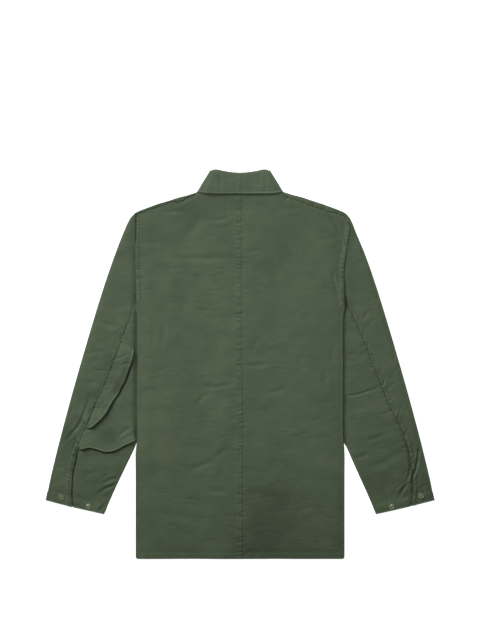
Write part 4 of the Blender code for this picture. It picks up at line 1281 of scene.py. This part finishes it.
def sleeve_head(side_name, y, from_body, under_body):
    """A sleeve beside its armhole: low beside the body's band, with a ridge high up on the left. On the left
    it has painted shade at its edge and a painted highlight on the ridge.
    """
    drawn = gathers("sleeve head", y - ARMHOLE_Y, from_body, ARMHOLE_LENGTH, SIDES[side_name]) * under_body
    if side_name == "right":
        return drawn - bells(from_body, HEAD_DITCH), 0.0
    high = ramp(*SUNK_ABOVE_Y, y)
    depth, reach = HEAD_LOW
    low = depth * np.exp(-np.maximum(from_body, 0.0) / reach) * (1.0 - high)
    # painted shade at the sleeve's edge and a painted highlight on the ridge
    tones = bells(from_body, HEAD_EDGE_SHADE) + high * bells(from_body, HEAD_RIDGE_HIGHLIGHT)
    return drawn - low - high * bells(from_body, HEAD_RIDGE), tones


def top_relief(side_name, fold, shares, x, y, from_edge, from_seam, from_body):
    """What a sleeve's upper layer has over the plain layer, and its tone with painted light and shade, on
    the grid of one half.
    """
    side = SIDES[side_name]
    by_body, under_body = ramp(*BY_BODY_Y, y), ramp(*OUT_OF_BODY, x - HALF_BODY)
    relief, wear_and_painted_shading = sleeve_relief(side_name, side * x, y)
    relief = relief + TOP_EASE * ramp(0.0, TOP_EASE_OVER, from_edge)
    relief = relief * (EDGE_CALM + (1.0 - EDGE_CALM) * ramp(0.0, EDGE_CALM_OVER, from_edge)) * under_body
    for share, (rise, tone) in ((1.0, sleeve_seam(side_name, fold, shares, from_seam, under_body)),
                                (1.0, sleeve_end(side_name, shares, x.shape[1])),
                                (by_body, sleeve_head(side_name, y, from_body, under_body))):
        relief = relief + share * rise
        wear_and_painted_shading = wear_and_painted_shading + share * tone
    wear_and_painted_shading = wear_and_painted_shading + FOLDED_EDGE_PALER * (1.0 - ramp(0.0, FOLDED_EDGE_OVER, from_edge))
    # beside the body's side: full on the left, and low in the body's shade on the right
    from_side = np.maximum(x - SLEEVE_EDGE_X + DIP_START, 0.0)
    fullness, reach = BESIDE_BODY[side_name]
    laid = fullness * (1.0 - by_body) * ramp(*SLEEVE_FLAT_Y, y) * under_body
    risen = 1.0 - np.exp(-from_side / SLEEVE_DIP) if side < 0 else 1.0
    relief = relief + laid * risen * bell(from_side, reach)
    # painted light and painted shade are added to the tone here
    return relief, np.clip(wear_and_painted_shading + paint_light_and_shade(side * x, y), *TONE_RANGE)


def under_body_bend(side_name, steps, shares):
    """Bends the under sleeve's rings along the hidden armhole, round its corner, as (n, m, 2)."""
    inner, corner = np.array(SLEEVE_INNER[0]), np.array(ARMHOLE_CORNER)
    seam = np.array(BACK_SLEEVE_SEAM[side_name][0])
    steps = steps[:, None]
    first = inner + (corner - inner) * steps / CORNER_STEP
    second = corner + (seam - corner) * (steps - CORNER_STEP) / (1.0 - CORNER_STEP)
    bent = np.where(steps <= CORNER_STEP, first, second)
    straight = inner + (seam - inner) * steps
    fading = np.maximum(1.0 - shares / BEND_SHARE, 0.0) ** 2
    full_from, *fades_over = RING_CLEAR_SHARES
    clear = RING_CLEAR * np.minimum(shares / full_from, 1.0) * slope_down(fades_over, shares)
    bend = (bent - straight)[None] * fading[:, None, None]
    bend[..., 0] += clear[:, None] * np.sin(math.pi * steps[:, 0])[None]
    return bend


# ---------------------------------------------------------------- collar

NECK_Z = float(back_z(0.0, NECK_SEAM_Y))


def mirrored(right):
    """Whole rows from their right halves, (rows, columns, 3), whose first column is the centre line."""
    left = right[:, :0:-1].copy()
    left[..., 0] *= -1.0
    return np.concatenate([left, right], axis=1)


def between(first, last, shares):
    """Places on the way from one line's points to another's, as (shares, points, 2)."""
    return first[None] + (last - first)[None] * shares[:, None, None]


def flat_at(places, z):
    return points_of(places[..., 0], places[..., 1], z)


def collar_fall():
    """The fall: its back over the stand, and its leaves that are folded under it to their points."""
    z_back = NECK_Z + STAND_RISE + CLOTH / 2.0 + SEAM_GAP + COLLAR_CLOTH / 2.0
    z_leaf = COLLAR_CLOTH / 2.0
    shares = shares_of(FALL_MESH)
    steps, leaf_steps = np.linspace(0.0, 1.0, FALL_COLUMNS), np.linspace(0.0, 1.0, LEAF_COLUMNS)
    back = between(along(FALL_TOP, steps), along(FALL_EDGE, steps), shares)
    crown = FALL_CROWN * np.sin(math.pi * shares) ** 0.6 + FALL_EDGE_CROWN * shares ** 3
    fullness = END_CROWN + (1.0 - END_CROWN) * slope_down(END_STEPS, steps)
    back_part = flat_at(back, z_back + crown[:, None] * fullness)
    side_top, side_low = np.array(COLLAR_SIDE_TOP), np.array(COLLAR_SIDE_LOW)
    side_line = side_top + (side_low - side_top) * shares[:, None]
    round_side = fold_grid(*side_line.T, *COLLAR_SIDE_OUT, back_part[:, -1, 2], z_leaf, FOLD_SHARES)
    leaf = between(along(LEAF_TOP, leaf_steps), along(LEAF_EDGE, leaf_steps), shares)
    right = np.concatenate([back_part, round_side, flat_at(leaf, z_leaf)], axis=1)
    # the top of the back part rolls over the stand
    rolled = np.repeat(right[:1], len(TOP_ROLL_SHARES), axis=0)
    angle = math.pi * (0.5 - np.array(TOP_ROLL_SHARES))[:, None]
    rolled[:, :FALL_COLUMNS, 1] += TOP_ROLL * np.cos(angle)
    rolled[:, :FALL_COLUMNS, 2] += TOP_ROLL * (np.sin(angle) - 1.0)
    points = mirrored(np.concatenate([rolled, right], axis=0))
    middle = points.shape[1] // 2
    shows = np.zeros(points.shape[1], bool)
    shows[middle - FALL_COLUMNS + 1:middle + FALL_COLUMNS] = True
    cut = np.zeros((points.shape[0] - 1, points.shape[1] - 1), bool)
    cut[:len(TOP_ROLL_SHARES)] = ~(shows[:-1] & shows[1:])
    # what shows: soft ripples that rise from the edge, whose rim stands up below its row of stitches
    share = np.concatenate([np.zeros(len(TOP_ROLL_SHARES)), shares])[:, None]
    x, above_edge = points[..., 0], (1.0 - share) * FALL_HEIGHT
    fall_off = np.clip(RIPPLE_BASE - above_edge / RIPPLE_REACH, 0.0, 1.0)
    ripple = unevenness(COLLAR_WAVES, x, above_edge * COLLAR_WAVES_UP)
    drawn = gathers("collar", x + COLLAR_HALF, above_edge - COLLAR_DRAWN_AT, 2.0 * COLLAR_HALF)
    ripple = ripple + drawn * fall_off
    rim = RIM_RISE * slope_down(RIM_SLOPE, above_edge) + bells(above_edge, RIM_RELIEF)
    points[..., 2] += np.where(shows, ripple + rim, 0.0)
    # a painted highlight along the collar's rim, stronger towards the right
    rim_highlight = (RIM_HIGHLIGHT + RIM_HIGHLIGHT_MORE * ramp(*RIM_HIGHLIGHT_X, x)) * bells(above_edge, RIM_HIGHLIGHT_TONES)
    # the ripples' crests are painted paler and their troughs darker: painted light and shade
    tone = rim_highlight + bells(share, FOLD_TOP_TONES) + RIPPLE_SHADING * np.clip(ripple, -1.0, 1.0)
    # painted light and painted shade are added to the tone here
    tone = tone + paint_light_and_shade(x, points[..., 1])
    wear_and_painted_shading = np.clip(np.where(shows, tone, 0.0), *TONE_RANGE)
    sheet("collar_fall", points, wear_and_painted_shading, "collar", cut, COLLAR_CLOTH)


def collar_stand():
    """The stand: up behind the neck, round its sides and down along the fronts' neck."""
    z_back, z_front = NECK_Z + STAND_RISE, NECK_Z - LAYER
    shares = np.linspace(0.0, 1.0, STAND_ROWS)
    front_low_x = np.array(STAND_FRONT_LOW_X)
    front_low = points_of(front_low_x, value_at(FRONT_NECK, front_low_x) + STAND_FRONT_GAP)
    back = between(np.array(STAND_BACK_LOW), np.array(STAND_BACK_TOP), shares)
    front = between(front_low, np.array(STAND_FRONT_TOP), shares)
    side_low, side_top = np.array(STAND_SIDE_LOW), np.array(STAND_SIDE_TOP)
    side_line = side_low + (side_top - side_low) * shares[:, None]
    round_side = fold_grid(*side_line.T, *COLLAR_SIDE_OUT, z_back, z_front, FOLD_SHARES + [1.0])
    points = mirrored(np.concatenate([flat_at(back, z_back), round_side, flat_at(front, z_front)], axis=1))
    sheet("collar_stand", points, np.zeros(points.shape[:2]), "collar")


# ---------------------------------------------------------------- stitches

THREAD_RING = ((1.0, 0.0), (0.0, 1.0), (-1.0, 0.0), (0.0, -1.0))
THREAD_STATIONS = (
    # share of the half length, size there, height above the cloth
    (-1.0, 0.3, -0.25), (-0.62, 1.0, 0.12), (0.62, 1.0, 0.12), (1.0, 0.3, -0.25),
)
ROW_LOOK = 0.5              # a row's direction is taken over this much of it each way
RAY_START = 0.1             # metres above or below the floor, from where the cloth is looked for


class Surface:
    """What the cloth is at a place, seen from above or from below."""

    def __init__(self, pieces):
        graph = bpy.context.evaluated_depsgraph_get()
        corners, faces = [], []
        for piece in pieces:
            mesh = piece.evaluated_get(graph).to_mesh()
            base = len(corners)
            corners += [vertex.co.copy() for vertex in mesh.vertices]
            faces += [[base + index for index in polygon.vertices] for polygon in mesh.polygons]
        self.tree = BVHTree.FromPolygons(corners, faces)

    def height(self, x, y, above=True):
        """The height of what shows at (x, y), or None where there is no cloth."""
        way = -1.0 if above else 1.0
        start = Vector((x * METRES, y * METRES, -way * RAY_START))
        place = self.tree.ray_cast(start, Vector((0.0, 0.0, way)))[0]
        return None if place is None else place.z / METRES


def stitches_of(row, pitch):
    """Where the stitches of a row of points lie, and which way each points, both as (n, 2)."""
    lengths = np.concatenate([[0.0], np.cumsum(np.hypot(*np.diff(row, axis=0).T))])
    places = np.arange(pitch / 2.0, lengths[-1], pitch)
    before, here, after = [points_of(*(np.interp(places + look, lengths, axis) for axis in row.T))
                           for look in (-ROW_LOOK, 0.0, ROW_LOOK)]
    return here, units(after - before)


def stitch_corners(surface, x, y, way_x, way_y, above):
    """The corners of one thread that lies on the cloth at (x, y), or none where there is no cloth."""
    half = STITCH_LENGTH / 2.0
    heights = [surface.height(x + way_x * half * end, y + way_y * half * end, above)
               for end in (-1.0, 0.0, 1.0)]
    if None in heights:
        return []
    start_z, middle_z, end_z = heights
    corners = []
    for station, size, rise in THREAD_STATIONS:
        centre_x, centre_y = x + way_x * half * station, y + way_y * half * station
        z = (start_z + end_z) / 2.0 + (end_z - start_z) / 2.0 * station
        z = z + (middle_z - z) * (1.0 - abs(station)) + (rise if above else -rise)
        for across, up in THREAD_RING:
            wide = across * STITCH_WIDTH / 2.0 * size
            corners.append((centre_x - way_y * wide, centre_y + way_x * wide, z + up * THREAD_THICK * size))
    return corners


def thread_faces():
    """The faces of one thread, by its corners' numbers."""
    around = len(THREAD_RING)
    last = around * (len(THREAD_STATIONS) - 1)
    faces = [(first + k, first + k + around, first + (k + 1) % around + around, first + (k + 1) % around)
             for first in range(0, last, around) for k in range(around)]
    return faces + [tuple(range(around)), tuple(range(last + around - 1, last - 1, -1))]


def stitch_rows(name, rows, surface, above=True, pitch=STITCH_PITCH):
    """Small threads lying along each row of (x, y) points, joined into one piece."""
    corners, faces = [], []
    one_thread = thread_faces()
    for row in rows:
        for (x, y), (way_x, way_y) in zip(*stitches_of(row, pitch)):
            thread = stitch_corners(surface, x, y, way_x, way_y, above)
            if thread:
                faces += [[len(corners) + index for index in face] for face in one_thread]
                corners += thread
    mesh = bpy.data.meshes.new(name)
    mesh.from_pydata((np.array(corners) * METRES).tolist(), [], faces)
    mesh.shade_smooth()
    place_piece(name, mesh, "thread")


def back_seam_rows():
    """Rows of (x, y) on the back: centre, armholes, hem, shoulders and the label's outline."""
    y = np.linspace(HEM_Y + 3.0, 355.0, 260)
    rows = [points_of(centre_ditch_x(y) - offset, y) for offset in CENTRE_ROWS]
    x = np.linspace(90.0, 218.0, 60)
    for side_name, side in SIDES.items():
        y = np.linspace(126.0, ARMHOLE_LINE[side_name][-1][0] - 4.0, 90)
        rows += [points_of(side * (armhole_x(side_name, y) - offset), y) for offset in ARMHOLE_ROWS]
        rows.append(points_of(side * x, back_top_y(side_name, x) + 2.2))
        rows.append(points_of(side * x, value_at(SHOULDER, x) - 1.9))
    rows.append(points_of(np.linspace(-214.0, 214.0, 120), HEM_Y + HEM_ROW))
    left, right = LABEL_CENTRE[0] - LABEL_HALF[0], LABEL_CENTRE[0] + LABEL_HALF[0]
    top, low = LABEL_CENTRE[1] + LABEL_HALF[1], LABEL_CENTRE[1] - LABEL_HALF[1]
    rows.append(np.array([(left, top), (left, low), (right, low), (right, top)]))
    return rows


def on_side(side, row):
    return points_of(side * row[:, 0], row[:, 1])


def sleeve_seam_rows(side_name):
    """Rows along a sleeve's back seam and round its end."""
    side = SIDES[side_name]
    lines = sleeve_lines(side_name, np.linspace(0.004, 0.995, 200))
    toward = units(lines["back"] - lines["outer"])
    rows = [on_side(side, lines["back"] - toward * (offset + SEAM_GAP / 2.0))
            for offset in SLEEVE_ROWS[side_name]]
    for from_end in CUFF_ROWS:
        share = 1.0 - from_end / length_of(BACK_SLEEVE_SEAM[side_name])
        lines = sleeve_lines(side_name, np.array([share]))
        for first, second in (("outer", "back"), ("back", "inner")):
            start, end = lines[first][0], lines[second][0]
            inset = units(end - start) * 2.5
            rows.append(on_side(side, np.linspace(start + inset, end - inset, 30)))
    return rows


def collar_rows():
    """The row along the fall's edge."""
    edge = along(FALL_EDGE, np.linspace(0.0, 0.97, 60))
    right = edge + np.array([0.0, FALL_ROW])
    return [np.concatenate([on_side(-1.0, right[::-1])[:-1], right])]


def under_rows():
    """Rows that show from below: the front edge, its hem, the collar's leaves and the front sleeve seams."""
    y = np.linspace(HEM_Y + 6.0, 286.0, 200)
    rows = [points_of(x, y) for x in (12.0, -27.0)]
    rows.append(points_of(np.linspace(-208.0, 208.0, 120), HEM_Y + HEM_ROW))
    y = np.linspace(HEM_Y + 4.0, UNDERARM_Y - 2.0, 120)
    along_leaf = np.linspace(0.04, 0.95, 40)
    leaf, inner = along(LEAF_EDGE, along_leaf), along(LEAF_TOP, along_leaf)
    for side_name, side in SIDES.items():
        lines = sleeve_lines(side_name, np.linspace(0.16, 0.99, 160))
        toward = units(lines["front"] - lines["outer"])
        rows += [on_side(side, lines["front"] - toward * offset) for offset in SLEEVE_ROWS[side_name]]
        rows.append(on_side(side, leaf + units(inner - leaf) * LEAF_ROW))
        rows.append(points_of(side * (SIDE_SEAM_X + 2.0), y))
    return rows


# ---------------------------------------------------------------- snaps

SNAP_FACETS = 40
SNAP_SHARP = math.radians(50)
SNAP_SUNK = 0.1
SAME_PLACE = 0.00001        # corners that lie this close are one
CAP_PROFILE = (
    # share of the radius, share of the height: a pressed cap, with a rolled rim round a sunk ring and a boss
    (0.0, 0.6), (0.16, 0.6), (0.26, 0.5), (0.34, 0.12), (0.62, 0.1), (0.68, 0.45), (0.74, 0.85),
    (0.82, 1.0), (0.9, 0.95), (0.97, 0.7), (1.0, 0.35), (0.98, 0.0), (0.0, 0.0),
)
STUD_PROFILE = (
    # the same for a stud: a high ring round a deep hole, on a thin flange
    (0.0, 0.1), (0.28, 0.1), (0.36, 0.5), (0.44, 0.9), (0.56, 1.0), (0.68, 0.85), (0.74, 0.4),
    (0.84, 0.26), (0.97, 0.2), (1.0, 0.1), (0.98, 0.0), (0.0, 0.0),
)


def snap(node, x, y, surface, profile, above=True):
    """A turned metal snap, sunk a little into the cloth at (x, y)."""
    way = 1.0 if above else -1.0
    z = surface.height(x, y, above) - way * SNAP_SUNK
    mesh = bpy.data.meshes.new("metal_" + node)
    form = bmesh.new()
    places = [(r * SNAP_RADIUS * METRES, 0.0, h * SNAP_HEIGHT * METRES) for r, h in profile]
    corners = [form.verts.new(place) for place in places]
    edges = [form.edges.new(pair) for pair in zip(corners, corners[1:])]
    bmesh.ops.spin(form, geom=corners + edges, cent=(0, 0, 0), axis=(0, 0, 1), angle=2 * math.pi,
                   steps=SNAP_FACETS, use_merge=True)
    bmesh.ops.remove_doubles(form, verts=form.verts, dist=SAME_PLACE)
    bmesh.ops.dissolve_degenerate(form, edges=form.edges, dist=SAME_PLACE)
    for corner in form.verts:
        corner.co = Vector((x, y, z)) * METRES + Vector((corner.co.x, corner.co.y, way * corner.co.z))
    bmesh.ops.recalc_face_normals(form, faces=form.faces)
    form.to_mesh(mesh)
    form.free()
    mesh.shade_smooth()
    mesh.set_sharp_from_angle(angle=SNAP_SHARP)
    place_piece("metal_" + node, mesh, "metal", node)


# ---------------------------------------------------------------- materials

def new_material(name):
    """A new material, its node tree and its shader."""
    made = bpy.data.materials.new(name)
    made.use_nodes = True
    return made, made.node_tree, made.node_tree.nodes["Principled BSDF"]


def add_node(tree, kind, **settings):
    made = tree.nodes.new(kind)
    for key, value in settings.items():
        setattr(made, key, value)
    return made


def set_inputs(changed, values):
    for name, value in values.items():
        changed.inputs[name].default_value = value


def noise(tree, scale, detail, rotation=0.0, seed=0.0):
    """Noise over the piece's own coordinates, which are in metres; scale is how often it changes in one."""
    coordinates = add_node(tree, "ShaderNodeTexCoord").outputs["Object"]
    place = add_node(tree, "ShaderNodeMapping")
    set_inputs(place, {"Rotation": (0.0, 0.0, rotation), "Scale": scale,
                       "Location": (seed, seed * 0.7, seed * 0.3)})
    made = add_node(tree, "ShaderNodeTexNoise")
    set_inputs(made, {"Scale": 1.0, "Detail": detail})
    tree.links.new(coordinates, place.inputs["Vector"])
    tree.links.new(place.outputs["Vector"], made.inputs["Vector"])
    return made.outputs["Fac"]


def weighted(tree, pairs, offset=0.0):
    """A sum of sockets, each times its weight, plus an offset."""
    total = None
    for socket, weight in pairs:
        part = add_node(tree, "ShaderNodeMath", operation="MULTIPLY_ADD")
        tree.links.new(socket, part.inputs[0])
        part.inputs[1].default_value = weight
        if total is None:
            part.inputs[2].default_value = offset
        else:
            tree.links.new(total, part.inputs[2])
        total = part.outputs[0]
    return total


def colour_by(tree, shader, factor, first, last, *middle):
    """Colours a shader by a socket, through stops of (value, colour)."""
    stops = add_node(tree, "ShaderNodeValToRGB")
    elements = stops.color_ramp.elements
    for element, (value, colour) in zip(elements, (first, last)):
        element.position = value
        element.color = (*colour, 1.0)
    for value, colour in middle:
        elements.new(value).color = (*colour, 1.0)
    tree.links.new(factor, stops.inputs["Fac"])
    tree.links.new(stops.outputs["Color"], shader.inputs["Base Color"])


CLOTH_NOISES = {
    # scale, detail, what it adds to the seed
    "streaks": ((40.0, 340.0, 1.0), 2.0, 0.0),
    "long streaks": ((9.0, 260.0, 1.0), 1.0, 3.0),
    "warp": ((900.0, 30.0, 1.0), 1.0, 5.0),
    "patches": ((11.0, 11.0, 11.0), 2.0, 7.0),
    "mottle": ((34.0, 46.0, 34.0), 2.0, 8.0),
    "grain": ((1400.0, 1400.0, 300.0), 1.0, 9.0),
    "slubs": ((26.0, 34.0, 20.0), 1.0, 11.0),       # where streaks are strong enough to be slubs
}
CLOTH_TONE = {"streaks": 0.2, "slubs": 0.62, "long streaks": 0.08, "warp": 0.1, "patches": 0.25,
              "mottle": 0.42, "grain": 0.3, "wear_and_painted_shading": 0.8}
CLOTH_TONE_OFFSET = -0.14
CLOTH_ROUGHNESS = {"streaks": 0.12, "wear_and_painted_shading": 0.1}
CLOTH_ROUGHNESS_OFFSET = 0.66
CLOTH_BUMP = {"streaks": 0.4, "warp": 0.25, "grain": 0.45}
SLUBS_FROM, SLUBS_FULL = 0.45, 0.68
DARKEST = (0.63, 0.63, 0.63)
PALEST = (1.42, 1.36, 1.36)


def cloth_material(name, base, grain_angle, seed):
    """Cotton sateen: slubbed weft streaks, a soft fade and a fine weave, with worn edges, painted light and
    painted shade from the tone attribute.
    """
    made, tree, shader = new_material(name)
    sockets = {kind: noise(tree, scale, detail, grain_angle, seed + more)
               for kind, (scale, detail, more) in CLOTH_NOISES.items()}
    wear_and_painted_shading = add_node(tree, "ShaderNodeAttribute", attribute_name="wear_and_painted_shading", attribute_type="GEOMETRY")
    sockets["wear_and_painted_shading"] = wear_and_painted_shading.outputs["Fac"]
    clusters = add_node(tree, "ShaderNodeMapRange", interpolation_type="SMOOTHSTEP")
    set_inputs(clusters, {"From Min": SLUBS_FROM, "From Max": SLUBS_FULL})
    tree.links.new(sockets["slubs"], clusters.inputs["Value"])
    slubs = add_node(tree, "ShaderNodeMath", operation="MULTIPLY")
    tree.links.new(weighted(tree, ((sockets["streaks"], 1.0),), -0.5), slubs.inputs[0])
    tree.links.new(clusters.outputs["Result"], slubs.inputs[1])
    sockets["slubs"] = slubs.outputs[0]

    def mixed(weights, offset=0.0):
        return weighted(tree, [(sockets[kind], weight) for kind, weight in weights.items()], offset)

    dark, light = np.multiply(base, DARKEST), np.multiply(base, PALEST)
    colour_by(tree, shader, mixed(CLOTH_TONE, CLOTH_TONE_OFFSET), (0.0, dark), (1.0, light), (0.5, base))
    tree.links.new(mixed(CLOTH_ROUGHNESS, CLOTH_ROUGHNESS_OFFSET), shader.inputs["Roughness"])
    set_inputs(shader, {"Specular IOR Level": 0.35, "Sheen Weight": 0.25, "Sheen Roughness": 0.45})
    bump = add_node(tree, "ShaderNodeBump")
    set_inputs(bump, {"Strength": 0.5, "Distance": 0.00025})
    tree.links.new(mixed(CLOTH_BUMP), bump.inputs["Height"])
    tree.links.new(bump.outputs["Normal"], shader.inputs["Normal"])
    return made


def thread_material(base):
    """Matt thread, a little uneven."""
    made, tree, shader = new_material("thread")
    grain = noise(tree, (900.0, 900.0, 900.0), 1.0, seed=1.0)
    colour_by(tree, shader, grain, (0.3, np.multiply(base, 0.8)), (0.7, np.multiply(base, 1.2)))
    set_inputs(shader, {"Roughness": 0.6})
    return made


def metal_material():
    """Painted brass with a patina."""
    made, tree, shader = new_material("snap_metal")
    patina = noise(tree, (420.0, 420.0, 420.0), 3.0, seed=2.0)
    colour_by(tree, shader, patina, (0.35, METAL_DARK), (0.65, METAL_PALE))
    set_inputs(shader, {"Metallic": 0.3})
    tree.links.new(weighted(tree, ((patina, 0.3),), 0.3), shader.inputs["Roughness"])
    return made


OLIVE = (0.0750, 0.1085, 0.0590)
COLLAR_OLIVE = (0.0790, 0.1130, 0.0650)
THREAD = (0.100, 0.134, 0.080)
METAL_DARK = (0.130, 0.160, 0.095)
METAL_PALE = (0.36, 0.40, 0.27)
SLEEVE_LEAN = math.radians(14.0)
MATERIALS = {
    "back": cloth_material("cloth_back", OLIVE, 0.0, 0.0),
    "front": cloth_material("cloth_front", OLIVE, 0.0, 13.0),
    "sleeve_left": cloth_material("cloth_sleeve_left", OLIVE, -SLEEVE_LEAN, 21.0),
    "sleeve_right": cloth_material("cloth_sleeve_right", OLIVE, SLEEVE_LEAN, 31.0),
    "collar": cloth_material("cloth_collar", COLLAR_OLIVE, 0.0, 41.0),
    "thread": thread_material(THREAD),
    "metal": metal_material(),
}

# ---------------------------------------------------------------- the garment

CLOTH_PIECES = []
for side_name in SIDES:
    back_half(side_name)
    front_half(side_name)
    sleeve_half(side_name, "outer")
    sleeve_half(side_name, "inner")
collar_fall()
collar_stand()

bpy.context.view_layer.update()
surface = Surface(CLOTH_PIECES)
stitch_rows("stitches_back", back_seam_rows(), surface)
for side_name in SIDES:
    stitch_rows("stitches_sleeve_" + side_name, sleeve_seam_rows(side_name), surface)
stitch_rows("stitches_collar", collar_rows(), surface)
stitch_rows("stitches_below", under_rows(), surface, above=False, pitch=PITCH_BELOW)

for node, x, y, profile in (
        ("cuff_cap_left", -374.5, -279.1, CAP_PROFILE),
        ("cuff_cap_right", 379.6, -275.7, CAP_PROFILE),
        ("cuff_stud_left", -317.6, -298.4, STUD_PROFILE),
        ("cuff_stud_right", 318.7, -299.0, STUD_PROFILE)):
    snap(node, x, y, surface, profile)
for number, y in enumerate(FRONT_SNAPS_Y, start=1):
    snap(f"front_snap_{number}", 0.0, y, surface, CAP_PROFILE, above=False)

# ---------------------------------------------------------------- floor, light and camera

FLOOR_HALF = 60.0
FLOOR_Z = -0.0005
KEY_POWER = 134.0
OVER_POWER = 2.6
WORLD_LIGHT = 0.07
WHITE = (1.0, 1.0, 1.0, 1.0)
CAMERA_HEIGHT = 3.2         # above the cloth, whose top is this far above the floor on average
CLOTH_TOP = 0.005
FRAME_HEIGHT = 1.3393
SENSOR = 36.0

floor_mesh = bpy.data.meshes.new("floor")
floor_corners = [(x * FLOOR_HALF, y * FLOOR_HALF, FLOOR_Z) for x, y in ((-1, -1), (1, -1), (1, 1), (-1, 1))]
floor_mesh.from_pydata(floor_corners, [], [(0, 1, 2, 3)])
floor = bpy.data.objects.new("floor", floor_mesh)
bpy.context.scene.collection.objects.link(floor)
floor_material, _, floor_shader = new_material("floor_white")
set_inputs(floor_shader, {"Base Color": (0.9, 0.9, 0.9, 1.0), "Roughness": 0.9,
                          "Emission Color": WHITE, "Emission Strength": 0.9})
floor_mesh.materials.append(floor_material)

world = bpy.data.worlds.new("studio")
world.use_nodes = True
set_inputs(world.node_tree.nodes["Background"], {"Color": WHITE, "Strength": WORLD_LIGHT})
bpy.context.scene.world = world


def area_light(name, place, target, size, power):
    light = bpy.data.lights.new(name, "AREA")
    light.shape = "DISK"
    light.size = size
    light.energy = power
    lamp = bpy.data.objects.new(name, light)
    lamp.location = place
    lamp.rotation_euler = (Vector(target) - Vector(place)).to_track_quat("-Z", "Y").to_euler()
    bpy.context.scene.collection.objects.link(lamp)


area_light("key", (-2.2, 2.6, 2.1), (-0.1, 0.0, 0.0), 2.0, KEY_POWER)
area_light("over", (0.0, 0.1, 0.85), (0.0, 0.1, 0.0), 0.7, OVER_POWER)

camera_data = bpy.data.cameras.new("camera")
camera_data.sensor_width = SENSOR
camera_data.sensor_fit = "AUTO"
camera_data.lens = SENSOR * CAMERA_HEIGHT / FRAME_HEIGHT
camera = bpy.data.objects.new("camera", camera_data)
camera_x, camera_y = photo(*PICTURE_CENTRE)
camera.location = (camera_x * METRES, camera_y * METRES, CAMERA_HEIGHT + CLOTH_TOP)
bpy.context.scene.collection.objects.link(camera)
bpy.context.scene.camera = camera
bpy.context.scene.view_settings.view_transform = "Standard"
